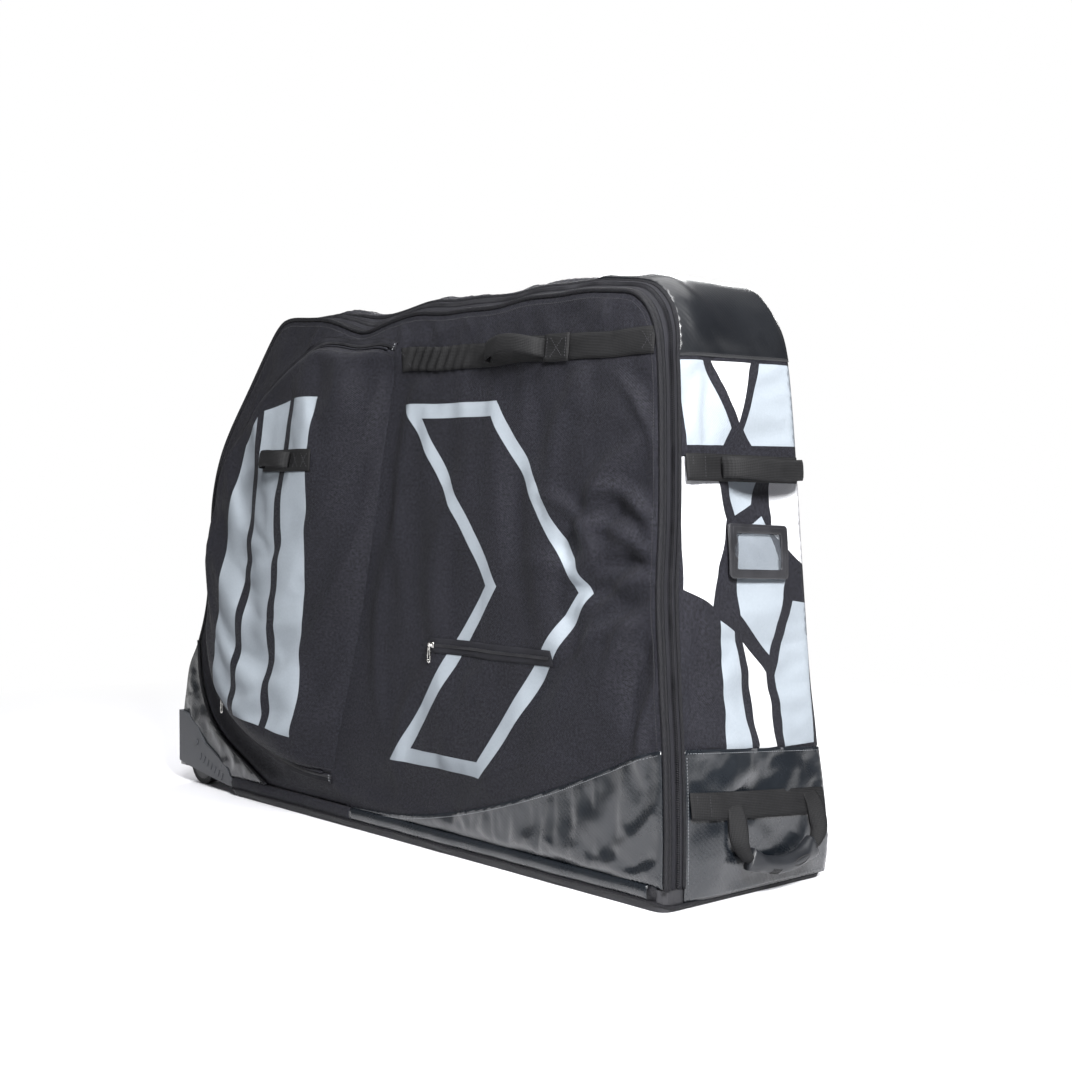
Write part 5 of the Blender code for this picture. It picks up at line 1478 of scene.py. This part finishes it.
def build_tag():
    """The luggage tag: a raised black frame with stitches round it and a clear window."""
    t = float(OUTLINE.found(TAG_Z, 60))
    centre = on_gusset(t, TAG_Y, END_RISE)
    up = unit(on_gusset(t + 0.04, TAG_Y, END_RISE) - centre)
    side = np.array([0.0, 1.0, 0.0])
    out = np.cross(side, up)

    def place(u, v, o=0.0):
        u, v, o = np.broadcast_arrays(u, v, o)
        bow = 0.0012 * np.cos(v / 0.0375 * 1.4)
        return centre + u[..., None] * side + (v - 0.05 * u)[..., None] * up + (o + bow)[..., None] * out

    def raised(u, v):
        return place(u, v, TAG_RIM)

    def rippled(u, v):
        return place(u, v, 0.0022 + 0.0010 * np.sin(u * 90 + v * 60) * np.sin(v * 75))

    hole = rounded(0.093, 0.051, 0.003)
    notch = [(-0.0455, 0.010), (-0.0455, -0.010), (-0.050, -0.008), (-0.052, 0.0), (-0.050, 0.008)]
    hole = np.vstack([hole, notch])
    hole = hole[np.argsort(np.arctan2(hole[:, 1], hole[:, 0]))]
    outer = rounded(0.122, 0.077, 0.006)
    o = sheet("tag_surround", outer, raised, "tag", 0.004, holes=[hole], slump=False)
    thickened(o, TAG_RIM)
    bevel = o.modifiers.new("rounding", "BEVEL")
    bevel.width = 0.0010
    bevel.segments = 2
    settled(o, "shell", "tag_plastic", "tag_frame")
    for k, (w, h) in enumerate(((0.108, 0.068), (0.096, 0.056))):
        ring = rounded(w, h, 0.004)
        line = Line(np.vstack([ring, ring[:1]]))
        stitches(f"tag_stitches_{k}", place, line, 0.0044, "shell", key="dark_thread")
    o = sheet("tag_pane", rounded(0.098, 0.058, 0.004), rippled, "window", 0.004, slump=False)
    thickened(o, TAG_PANE)
    settled(o, "shell", "tag_window", "tag_window")


def squared(a, power):
    """Places on a round-cornered square of half size one, at angles round it."""
    c, q = np.cos(a), np.sin(a)
    r = (np.abs(c) ** power + np.abs(q) ** power) ** (-1 / power)
    return c * r, q * r


GRIP_HALF, GRIP_Y, LOOP_THICKNESS = 0.0670, 0.0375, 0.0026


def build_grip():
    """The rubber grip and its two twisted webbing loops."""
    share = np.linspace(-1, 1, 41)
    x, z = 0.6860 - 0.0030 * share**2, 0.0430 + 0.0165 * share**2
    path = np.stack([x, GRIP_Y + share * GRIP_HALF, z], 1)
    d = unit(np.gradient(path, axis=0))
    up = unit(np.cross(d, [1.0, 0.0, 0.0]))
    out = np.cross(up, d)
    rings = []
    for p, u, o, e in zip(path, up, out, smoothstep(np.abs(share), 0.62, 0.98)):
        c, q = squared(turns(20), 2.0 + 2.5 * e)
        rings.append(p + (c * (0.0125 - 0.0045 * e))[:, None] * o + (q * (0.0125 + 0.0035 * e))[:, None] * u)
    settled(tubed("grip_rubber", np.array(rings), "rubber"), "grip", "grip_rubber", "grip_moulding")

    k = np.arange(11, 16)
    c = path[k] + 0.0118 * (0.75 * out[k] - 0.66 * up[k] * np.sign(up[k, 2:]))
    long, normal = unit(np.array([0.5, 0.35, 0.57])), unit(np.array([0.75, 0.0, -0.66]))
    wide = np.cross(normal, long)
    o = blocks("grip_slots", c, long, wide, normal, GRIP_SLOT, "tyre", TEETH_TAPER, slump=False)
    settled(o, "grip")
    pad = []
    for f in np.linspace(0, 2 * math.pi, 25):
        i = 28 + 5.0 * math.cos(f)
        k = int(i)
        q = path[k] + (path[k + 1] - path[k]) * (i - k)
        pad.append(q + [0.0118, 0.0, 0.0] + np.array([-0.0008, 0.0, 1.0]) * 0.0050 * math.sin(f))
    settled(tube("grip_pad_edge", np.array(pad), 0.0007, [1.0, 0, 0.01], "tyre"), "grip")
    build_grip_loop("near", -1, path[0], -d[0], 1.0)
    build_grip_loop("far", 1, path[-1], d[-1], 0.8)


def build_grip_loop(label, end, mouth, way, twist):
    """One loop of webbing from the low strap down into the grip's mouth, turning on its way."""
    top = np.array([0.6655, GRIP_Y + end * 0.0780, 0.1330])
    line = Line(spline([
        top, top + [0.008, end * 0.004, -0.018], top + [0.014, end * 0.006, -0.045],
        mouth + way * 0.016 + [0, 0, 0.010], mouth + way * 0.004, mouth - way * 0.014,
    ]))
    t = line.even(0.0035)
    c, g = line.place(t), line.direction(t)
    share = t / line.length
    turn = (share * math.pi * 0.45 * twist)[:, None]
    flatways = np.array([0.0, 1.0, 0.0]) * np.cos(turn) + np.array([0.9, 0.0, 0.3]) * np.sin(turn)
    flatways = unit(flatways - (flatways * g).sum(1)[:, None] * g)
    normal = np.cross(g, flatways)
    width = 0.0280 - 0.0120 * smoothstep(share, 0.35, 0.95)
    curl = 0.0045 * smoothstep(share, 0.1, 0.6)
    rows = np.linspace(-0.5, 0.5, 9)
    upper, lower = [], []
    for r in rows:
        middle = c + flatways * (width * r)[:, None] + normal * (curl * (1 - (2 * r) ** 2))[:, None]
        upper.append(middle + normal * LOOP_THICKNESS / 2)
        lower.append(middle - normal * LOOP_THICKNESS / 2)
    flat = pairs(t, np.concatenate([rows, rows[::-1]]) * 0.028)
    o = tubed("grip_loop_" + label, np.stack([*upper, *lower[::-1]], 1), "webbing", flat)
    bend = (top + [0.0, 0.0, -0.004], top + [0.009, 0.0, -0.030])
    settled(o, "grip", "webbing", "grip_webbing_" + label, bend=bend)


FOOT_SECTION = (
    (-0.0060, 0.0330), (-0.0012, 0.0335), (0.0016, 0.0290), (0.0026, 0.0220), (0.0018, 0.0150),
    (-0.0040, 0.0130), (-0.0060, 0.0200),
)
BASE_SECTION = (
    (-0.014, 0.0130), (-0.003, 0.0125), (-0.0015, 0.0070), (-0.0040, 0.0020), (-0.009, 0.0002),
    (-0.016, 0.0002),
)
FOOT_REAR = -0.4549


def plan_outline():
    """The bag's foot seen from above, with rounded corners, starting behind the near wheel."""
    front, half, r = 0.650, half_width(0.0), 0.026
    arc = np.linspace(0, math.pi / 2, 9)
    near = [(front - r + r * math.sin(a), -half + r - r * math.cos(a)) for a in arc]
    far = [(front - r + r * math.cos(a), half - r + r * math.sin(a)) for a in arc]
    return Line([(FOOT_REAR, -half), *near, *far, (FOOT_REAR, half)])


def build_foot():
    """The strip under the cloth's lower edge, the welt below it and the base under both."""
    line = plan_outline()
    t = line.even(0.006)
    p, n = line.place(t), line.outward(t)
    front = np.clip(n[:, 0], 0, 1) ** 2
    wave = (0.0010 * np.sin(t * 23) + 0.0006 * np.sin(t * 71 + 1)) * (1 - front)

    def ring(profile, back=0.0, drop=0.0):
        v = []
        for a, z in profile:
            flat = p + n * (a + wave - back * front)[:, None]
            v.append(np.column_stack([flat, np.maximum(z - drop * front, 0.0002)]))
        return np.stack(v, 1)

    strip = ring(FOOT_SECTION, 0.004)
    split = int(np.searchsorted(t, -0.08 - FOOT_REAR))
    last = len(t) - split
    bend, past = int(np.argmax(n[:, 0] > 0.05)) - 1, int(np.argmax(n[:, 0] > 0.95)) + 7
    welt = [(0.0005 + 0.0030 * math.cos(k), 0.0120 + 0.0030 * math.sin(k)) for k in turns(8)]
    for name, rings, key, slot in (
        ("foot_cloth", strip[: split + 1], "cloth", "woven_cloth"),
        ("foot_coated_cloth", strip[split : bend + 1], "coated", "coated_cloth"),
        ("foot_corner_cloth", strip[bend : past + 1], "piping", "piping"),
        ("foot_coated_end", strip[past:last], "coated", "coated_cloth"),
        ("foot_cloth_far", strip[last - 1 :], "cloth", "woven_cloth"),
        ("foot_welt", ring(welt, -0.003, 0.0060), "piping", "piping"),
        ("foot_base", ring(BASE_SECTION, 0.006, 0.0040), "base", "base_plastic"),
    ):
        settled(tubed(name, rings, key), "shell", slot)


PLATE_SECTION = (
    (-1.0, -0.0012), (1.0, -0.0012), (1.0, 0.0006), (0.82, 0.0014), (-0.82, 0.0014), (-1.0, 0.0006),
)


def zip_slider(key, here, along, out):
    """A slider: a waisted top plate on a wedge, with a bridge for its pull."""
    along = unit(np.asarray(along, float))
    across = unit(np.cross(out, along))
    up = np.cross(along, across)
    if up @ out < 0:
        up = -up
    s = np.linspace(-0.0065, 0.0065, 15)
    half = 0.0040 - 0.0010 * np.cos(s / 0.0065 * math.pi) * 0.5 + 0.0004 * np.sign(s) * np.abs(s / 0.0065)
    half[[0, -1]] *= 0.75
    rings = [here + s[:, None] * along + (half * a)[:, None] * across + b * up for a, b in PLATE_SECTION]
    plate = tubed(key + "_plate", np.stack(rings, 1), "silver")
    a = np.linspace(0, math.pi, 13)
    path = here + (np.cos(a) * 0.0042)[:, None] * along + (0.0010 + np.sin(a) * 0.0034)[:, None] * up
    bridge = tube(key + "_bridge", path, 0.0009, across, "silver")
    o = joined(key + "_slider_body", [plate, bridge])
    settled(o, key + "_slider", "slider_metal", key + "_slider")


def zip_pull(key, here, down, out, length):
    """A pull: a ring through the bridge and a tapered plate with a long opening."""
    down = unit(np.asarray(down, float))
    out = unit(out - (out @ down) * down)
    side = np.cross(down, out)
    a = np.linspace(0, 2 * math.pi, 17)
    ring = here + (np.cos(a) * 0.0030 + 0.0022)[:, None] * down + (np.sin(a) * 0.0024)[:, None] * side
    link = tube(key + "_link", ring, 0.0007, out, "silver")
    start, end, wide, thin = 0.0046, length, 0.0040, 0.0026
    b = np.linspace(0, math.pi, 9)
    edge = [(start + 0.001 - 0.001 * math.sin(k), thin * math.cos(k)) for k in b]
    edge += [(end - wide + wide * math.sin(k), -wide * math.cos(k)) for k in b]
    hole = [(start + 0.006 - 0.0012 * math.sin(k), 0.0012 * math.cos(k)) for k in b]
    hole += [(end - 0.006 + 0.0022 * math.sin(k), -0.0020 * math.cos(k)) for k in b]

    def place(u, v):
        return here + u[..., None] * down + v[..., None] * side + 0.0006 * out

    tab = sheet(key + "_tab", edge, place, "silver", 0.0016, holes=[hole], slump=False)
    thickened(tab, 0.0013, 0.0)
    bpy.ops.object.select_all(action="DESELECT")
    bpy.context.view_layer.objects.active = tab
    tab.select_set(True)
    bpy.ops.object.modifier_apply(modifier="thickness")
    o = joined(key + "_pull_body", [tab, link])
    settled(o, key + "_pull", "slider_metal", key + "_pull")


PULL_LIFT = 0.0042


def build_zips():
    """The five sliders' bodies and pulls on their closed chains."""
    here = on_door(0.143, SLIT_LEVEL, 0.0030)
    zip_slider("slit", here, turned((1.0, 0.0)), OUT_DOOR)
    pivot = here + OUT_DOOR * PULL_LIFT + turned((0.0, 1.0)) * 0.002
    zip_pull("slit", pivot, turned((0.04, -1.0)), OUT_DOOR, 0.030)
    rim = Line(POCKET_LINE)
    for key, at, length in (
        ("pocket_upper", (-0.527, 0.29427), 0.030), ("pocket_lower", (-0.48113, 0.1925), 0.042)
    ):
        t = rim.at[np.argmin(np.linalg.norm(rim.points - leaned([at]), axis=1))]
        here = on_door(*rim.beside(t, 0.006), 0.0040)
        zip_slider(key, here, turned(rim.direction(t)), OUT_DOOR)
        zip_pull(key, here + OUT_DOOR * PULL_LIFT, turned((0.06, -1.0)), OUT_DOOR, length)
    part = SIDE.at > SIDE_SEAMS["top"]
    for key, z in (("main_upper", 0.80476), ("main_lower", 0.76596)):
        t = float(np.interp(-up_side(z), -SIDE.points[part][:, 1], SIDE.at[part]))
        d, n = SIDE.direction(t), SIDE.outward(t)
        here = on_band(t, 0.0260, 0.0030)
        zip_slider(key, here, turned(d), turned(n))
        down = turned((n[0] * 0.45 + d[0] * 0.4, -0.9))
        zip_pull(key, here + turned(n) * PULL_LIFT, down, np.cross(down, OUT_DOOR), 0.034)


FLOOR_X, FLOOR_Y = (-0.4440, 0.6400), (-0.1550, 0.1550)
# The tie straps' buckles as rings: place across the bag, height and half width
BUCKLE_RINGS = (
    (-0.010, 0.004, 0.012), (-0.006, 0.010, 0.017), (0.016, 0.011, 0.018), (0.022, 0.008, 0.015),
    (0.026, 0.011, 0.018), (0.044, 0.010, 0.017), (0.048, 0.005, 0.014),
)


def build_inside():
    """The padded floor and its two tie straps with their buckles."""
    (x0, x1), (y0, y1) = FLOOR_X, FLOOR_Y
    edge = np.array([(x0, y0), (x1, y0), (x1, y1), (x0, y1)])

    def place(x, y):
        d = edge_distance(np.stack([x, y], -1), edge)
        quilt = 0.0016 * (1 - fold(np.mod(x + 0.09, 0.18) - 0.09, 0.006)) * smoothstep(d, 0.0, 0.012)
        return np.stack([x, y, 0.0190 + quilt + 0.0012 * smoothstep(d, 0, 0.01)], -1)

    o = sheet("floor_cushion", edge, place, "foam", 0.012, slump=False)
    thickened(o, CUSHION)
    settled(o, "shell", "floor_foam", "floor_pad", padded=0.6)
    for label, x in (("rear", -0.25), ("front", 0.320)):
        line = Line([(x, -0.135), (x, 0.135)])
        t = line.even(0.006)
        rise = 0.0225 + 0.0010 * np.abs(np.sin(t * 23))
        y = line.place(t)[:, 1]
        rows = np.linspace(-0.0125, 0.0125, 5)
        top, low = ([np.column_stack([x + r + 0 * t, y, rise + up]) for r in rows] for up in (0.0018, 0.0))
        flat = pairs(t, np.concatenate([rows, rows[::-1]]))
        o = tubed("tie_webbing_" + label, np.stack([*top, *low[::-1]], 1), "webbing", flat)
        settled(o, "shell", "webbing", "tie_strap_" + label)
        c, q = squared(turns(16), 4)
        rings = [np.column_stack([x + c * w, 0 * c + y, 0.0295 + q * h / 2]) for y, h, w in BUCKLE_RINGS]
        settled(tubed("tie_buckle_" + label, np.array(rings), "tag"), "shell", "tag_plastic")


# Stage
LENS = 55.41
CAMERA_PLACE, CAMERA_DOWN, CAMERA_TURN = (2.1907, -1.7278, 0.58), 1.944, 49.03
FLOOR_RINGS, FLOOR_STEPS = (1.0, 2.0, 4.0, 8.0, 30.0), 64
WHITE, DIM_FLOOR, DIM_WORLD = (1, 1, 1, 1), (0.16, 0.16, 0.17, 1), (0.95, 0.95, 0.98, 1)

# Lamps: name, place, what each looks at, size and power
LAMPS = (
    ("key", (2.6, -1.22, 1.7), (0.35, -0.1, 0.4), 0.5, 180.0),
    ("high", (0.9, -1.1, 2.4), (0.4, 0.0, 0.4), 0.6, 38.0),
    ("top", (0.2, 0.3, 2.6), (0.1, 0.0, 0.4), 2.0, 36.0),
    ("back", (-1.6, 2.2, 1.6), (0.0, 0.1, 0.4), 1.4, 70.0),
)


def added(name, data, place, turn):
    """A camera or a lamp in its place."""
    o = bpy.data.objects.new(name, data)
    o.location = place
    o.rotation_euler = turn
    bpy.context.scene.collection.objects.link(o)
    return o


def build_floor():
    """A pale disc that fades to white further out, and is dim in the light that it sends back."""
    MATERIALS["floor"], m, _, place = new_material("studio_floor")
    rough = m.span(m.noise(place, 3.0), 0.3, 0.7, 0.55, 0.65)
    m.finish({"Base Color": colour_of(paint("floor")), "Roughness": rough}, ())
    away = m.node("ShaderNodeVectorMath", {0: place}, operation="LENGTH").outputs["Value"]
    near = m.tree.nodes["Principled BSDF"].outputs[0]
    white = m.node("ShaderNodeEmission", {"Color": WHITE, "Strength": 1.0}).outputs[0]
    dim = m.node("ShaderNodeBsdfDiffuse", {"Color": DIM_FLOOR}).outputs[0]
    path = m.node("ShaderNodeLightPath").outputs
    seen = m.math("MAXIMUM", path["Is Camera Ray"], path["Is Glossy Ray"])
    seen = m.math("MAXIMUM", seen, path["Is Transmission Ray"])
    surface = m.shade(seen, dim, m.shade(m.span(away, 1.0, 2.2), near, white))
    m.put(m.tree.nodes["Material Output"].inputs["Surface"], surface)

    n = FLOOR_STEPS
    v = [(0.0, 0.0, 0.0)]
    faces = [(0, 1 + i, 1 + (i + 1) % n) for i in range(n)]
    for k, r in enumerate(FLOOR_RINGS):
        v += [(r * math.cos(a), r * math.sin(a), 0.0) for a in turns(n)]
        b = 1 + (k - 1) * n
        if k:
            faces += [(b + i, b + n + i, b + n + (i + 1) % n, b + (i + 1) % n) for i in range(n)]
    floor = new_object("studio_floor", v, faces, "floor")
    floor.location.z = -0.0005
    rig.stage(floor)


def build_stage():
    scene = bpy.context.scene
    data = bpy.data.cameras.new("camera")
    data.lens = LENS
    data.sensor_width = 36.0
    turn = (math.pi / 2 - math.radians(CAMERA_DOWN), 0.0, math.radians(CAMERA_TURN))
    scene.camera = added("camera", data, CAMERA_PLACE, turn)
    build_floor()

    scene.world = bpy.data.worlds.new("studio")
    scene.world.use_nodes = True
    scene.world.node_tree.nodes.clear()
    m = Maker(scene.world.node_tree)
    path = m.node("ShaderNodeLightPath").outputs
    seen = m.node("ShaderNodeBackground", {"Color": WHITE, "Strength": 1.0}).outputs[0]
    lit = m.node("ShaderNodeBackground", {"Color": DIM_WORLD, "Strength": 0.16}).outputs[0]
    direct = m.math("MAXIMUM", path["Is Camera Ray"], path["Is Transmission Ray"])
    m.node("ShaderNodeOutputWorld", {"Surface": m.shade(direct, lit, seen)})

    for name, place, aim, size, power in LAMPS:
        data = bpy.data.lights.new(name, "AREA")
        data.shape = "SQUARE"
        data.size = size
        data.energy = power
        added(name, data, place, (Vector(aim) - Vector(place)).to_track_quat("-Z", "Y").to_euler())
    scene.view_settings.view_transform = "Standard"


# What the user may set

def length(name, description, metres, least=0.0):
    """A length that the user may set."""
    return bpy.props.FloatProperty(
        name=name, description=description, default=metres, min=least,
        unit="LENGTH", subtype="DISTANCE", precision=4,
    )


def tone(name, description, red, green, blue):
    """A colour that the user may set, given from 0 to 255."""
    default = (red / 255, green / 255, blue / 255)
    return bpy.props.FloatVectorProperty(
        name=name, description=description, default=default, size=3, min=0.0, max=1.0, subtype="COLOR_GAMMA"
    )


class TravelBagSizes(bpy.types.PropertyGroup):
    """Sizes of the bag's cloth and trim"""

    padding: length("Side padding", "Thickness of the padded side panels", 0.0075, 0.001)
    coating: length("Coated cloth", "Thickness of the coated patches", 0.0010, 0.0004)
    pocket_proud: length("Pocket depth", "How far the wheel pocket stands out of the door", 0.045, 0.01)
    piping: length("Piping radius", "Radius of the cord round the sides", 0.0036, 0.001)
    webbing_width: length("Webbing width", "Width of the long straps", 0.038, 0.02)
    webbing_thickness: length("Webbing thickness", "Thickness of one layer of webbing", 0.002, 0.001)
    handle_rise: length("Handle rise", "How far the side handle stands off its strap", 0.030, 0.005)
    tooth_pitch: length("Zip pitch", "Distance from tooth to tooth of the main zip", 0.0030, 0.002)
    stitch_pitch: length("Stitch pitch", "Distance from stitch to stitch", 0.0042, 0.002)
    stroke: length("Print stroke", "Width of the printed outline", 0.023, 0.005)
    creasing: bpy.props.FloatProperty(
        name="Creasing", description="Share of the creases' full height in the door",
        default=1.2, min=0.0, max=1.5,
    )


class TravelBagColours(bpy.types.PropertyGroup):
    """Colours of the bag's finishes"""

    cloth: tone("Cloth", "Darker threads of the woven cloth", 12, 12, 16)
    # The lighter colour of the weave is painted glints on the threads, not a thread colour of their own
    cloth_thread_glint: tone("Cloth, light", "Lighter threads of the woven cloth", 58, 58, 68)
    coated: tone("Coated cloth", "Coated patches at the foot", 18, 22, 27)
    # Darker than the coated cloth: a painted dark reflection over the cap
    cap: tone("Cap", "Smooth coated cap over the tall end", 14, 16, 20)
    printed: tone("Grey print", "Pale grey print on the cloth", 158, 166, 174)
    white: tone("White print", "White print on the tall end", 224, 225, 228)
    webbing: tone("Webbing", "Straps and handles", 13, 13, 14)
    piping: tone("Piping", "Piping and zip flanges", 16, 16, 20)
    metal: tone("Sliders", "Plated sliders and pulls", 196, 194, 190)
    guard: tone("Corner guards", "Moulded guards round the wheels", 60, 62, 66)
    grip: tone("Grip", "Rubber grip at the tall end", 22, 24, 28)
    floor: tone("Studio floor", "The floor that the bag stands on", 246, 246, 250)


def sizes():
    return bpy.context.scene.travel_bag_sizes


def paint(key, by=0):
    """One of the set colours, from 0 to 255, made lighter by an amount."""
    return tuple(min(255, v * 255 + by) for v in getattr(bpy.context.scene.travel_bag_colours, key))


# The add-on
class TRAVELBAG_OT_stage(bpy.types.Operator):
    """Sets up the camera, the pale floor and the soft lights"""

    bl_idname = "travel_bag.stage"
    bl_label = "Stage"

    def execute(self, context):
        build_stage()
        return {"FINISHED"}


class TRAVELBAG_OT_finishes(bpy.types.Operator):
    """Makes the finishes and gives the moulded and metal fittings theirs"""

    bl_idname = "travel_bag.finishes"
    bl_label = "Finishes"

    def execute(self, context):
        make_materials()
        dress_kept()
        return {"FINISHED"}


class TRAVELBAG_OT_door(bpy.types.Operator):
    """Builds the padded door with its print, kick patch and piping"""

    bl_idname = "travel_bag.door"
    bl_label = "Door"

    def execute(self, context):
        need("cloth")
        build_door()
        return {"FINISHED"}


class TRAVELBAG_OT_pocket(bpy.types.Operator):
    """Builds the proud wheel pocket on the door and its zip"""

    bl_idname = "travel_bag.pocket"
    bl_label = "Wheel pocket"

    def execute(self, context):
        need("cloth", "door")
        build_pocket()
        return {"FINISHED"}


class TRAVELBAG_OT_far_side(bpy.types.Operator):
    """Builds the far side, its piping and the coated corner patches"""

    bl_idname = "travel_bag.far_side"
    bl_label = "Far side"

    def execute(self, context):
        need("cloth")
        build_far_side()
        return {"FINISHED"}


class TRAVELBAG_OT_straps(bpy.types.Operator):
    """Builds the carry straps and hand loops on both sides"""

    bl_idname = "travel_bag.straps"
    bl_label = "Carry straps"

    def execute(self, context):
        need("webbing", "door", "pocket", "far")
        build_straps()
        return {"FINISHED"}


class TRAVELBAG_OT_slit_zip(bpy.types.Operator):
    """Builds the short zip of the slit pocket in the door"""

    bl_idname = "travel_bag.slit_zip"
    bl_label = "Slit zip"

    def execute(self, context):
        need("tape", "door")
        build_slit()
        return {"FINISHED"}


class TRAVELBAG_OT_shell(bpy.types.Operator):
    """Builds the cloth round the bag: tall end, cap, top, nose and wheel end"""

    bl_idname = "travel_bag.shell"
    bl_label = "Shell"

    def execute(self, context):
        need("cloth")
        build_shell()
        return {"FINISHED"}


class TRAVELBAG_OT_main_zip(bpy.types.Operator):
    """Builds the main zip's two tapes, flanges and teeth round the door"""

    bl_idname = "travel_bag.main_zip"
    bl_label = "Main zip"

    def execute(self, context):
        need("tape")
        build_zip_band()
        return {"FINISHED"}


class TRAVELBAG_OT_end_straps(bpy.types.Operator):
    """Builds the two straps and the hand loop on the tall end"""

    bl_idname = "travel_bag.end_straps"
    bl_label = "End straps"

    def execute(self, context):
        need("webbing", "end")
        build_end()
        return {"FINISHED"}


class TRAVELBAG_OT_tag(bpy.types.Operator):
    """Builds the luggage tag's frame and clear window"""

    bl_idname = "travel_bag.tag"
    bl_label = "Luggage tag"

    def execute(self, context):
        need("tag", "end")
        build_tag()
        return {"FINISHED"}


class TRAVELBAG_OT_grip(bpy.types.Operator):
    """Builds the rubber grip and its two webbing loops"""

    bl_idname = "travel_bag.grip"
    bl_label = "Grip"

    def execute(self, context):
        need("rubber", "webbing")
        build_grip()
        return {"FINISHED"}


class TRAVELBAG_OT_foot(bpy.types.Operator):
    """Builds the strip, welt and base along the foot"""

    bl_idname = "travel_bag.foot"
    bl_label = "Foot"

    def execute(self, context):
        need("base")
        build_foot()
        return {"FINISHED"}


class TRAVELBAG_OT_sliders(bpy.types.Operator):
    """Builds the five zip sliders and their pulls"""

    bl_idname = "travel_bag.sliders"
    bl_label = "Sliders"

    def execute(self, context):
        need("silver", "door", "pocket")
        build_zips()
        return {"FINISHED"}


class TRAVELBAG_OT_inside(bpy.types.Operator):
    """Builds the floor cushion and the tie straps with their buckles"""

    bl_idname = "travel_bag.inside"
    bl_label = "Inside"

    def execute(self, context):
        need("foam", "webbing")
        build_inside()
        return {"FINISHED"}


def need(*keys):
    """Stops if a finish or a surface that a piece is built on isn't there yet."""
    missing = [k for k in keys if k not in MATERIALS and k not in FIELDS]
    if missing:
        raise RuntimeError("build these first: " + ", ".join(missing))


STEPS = (
    TRAVELBAG_OT_stage, TRAVELBAG_OT_finishes, TRAVELBAG_OT_door, TRAVELBAG_OT_pocket, TRAVELBAG_OT_far_side,
    TRAVELBAG_OT_straps, TRAVELBAG_OT_slit_zip, TRAVELBAG_OT_shell, TRAVELBAG_OT_main_zip,
    TRAVELBAG_OT_end_straps, TRAVELBAG_OT_tag, TRAVELBAG_OT_grip, TRAVELBAG_OT_foot, TRAVELBAG_OT_sliders,
    TRAVELBAG_OT_inside,
)


class TRAVELBAG_PT_panel(bpy.types.Panel):
    """Lists the bag's sizes, colours and the steps that build it"""

    bl_idname = "TRAVELBAG_PT_panel"
    bl_label = "Soft bike travel bag"
    bl_space_type = "VIEW_3D"
    bl_region_type = "UI"
    bl_category = "Travel bag"

    def draw(self, context):
        for group in (context.scene.travel_bag_sizes, context.scene.travel_bag_colours):
            box = self.layout.box()
            for key in group.__annotations__:
                box.prop(group, key)
        for step in STEPS:
            self.layout.operator(step.bl_idname)


CLASSES = (TravelBagSizes, TravelBagColours, *STEPS, TRAVELBAG_PT_panel)


def register():
    for c in CLASSES:
        bpy.utils.register_class(c)
    bpy.types.Scene.travel_bag_sizes = bpy.props.PointerProperty(type=TravelBagSizes)
    bpy.types.Scene.travel_bag_colours = bpy.props.PointerProperty(type=TravelBagColours)


def unregister():
    del bpy.types.Scene.travel_bag_colours
    del bpy.types.Scene.travel_bag_sizes
    for c in reversed(CLASSES):
        bpy.utils.unregister_class(c)


def main():
    register()
    for step in STEPS:
        group, name = step.bl_idname.split(".")
        getattr(getattr(bpy.ops, group), name)()
    with open("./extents.json", "w") as f:
        json.dump({"cad": [list(v) for v in CAD_BOX], "visual": [list(v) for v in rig.bounds()]}, f)


if __name__ == "__main__":
    main()
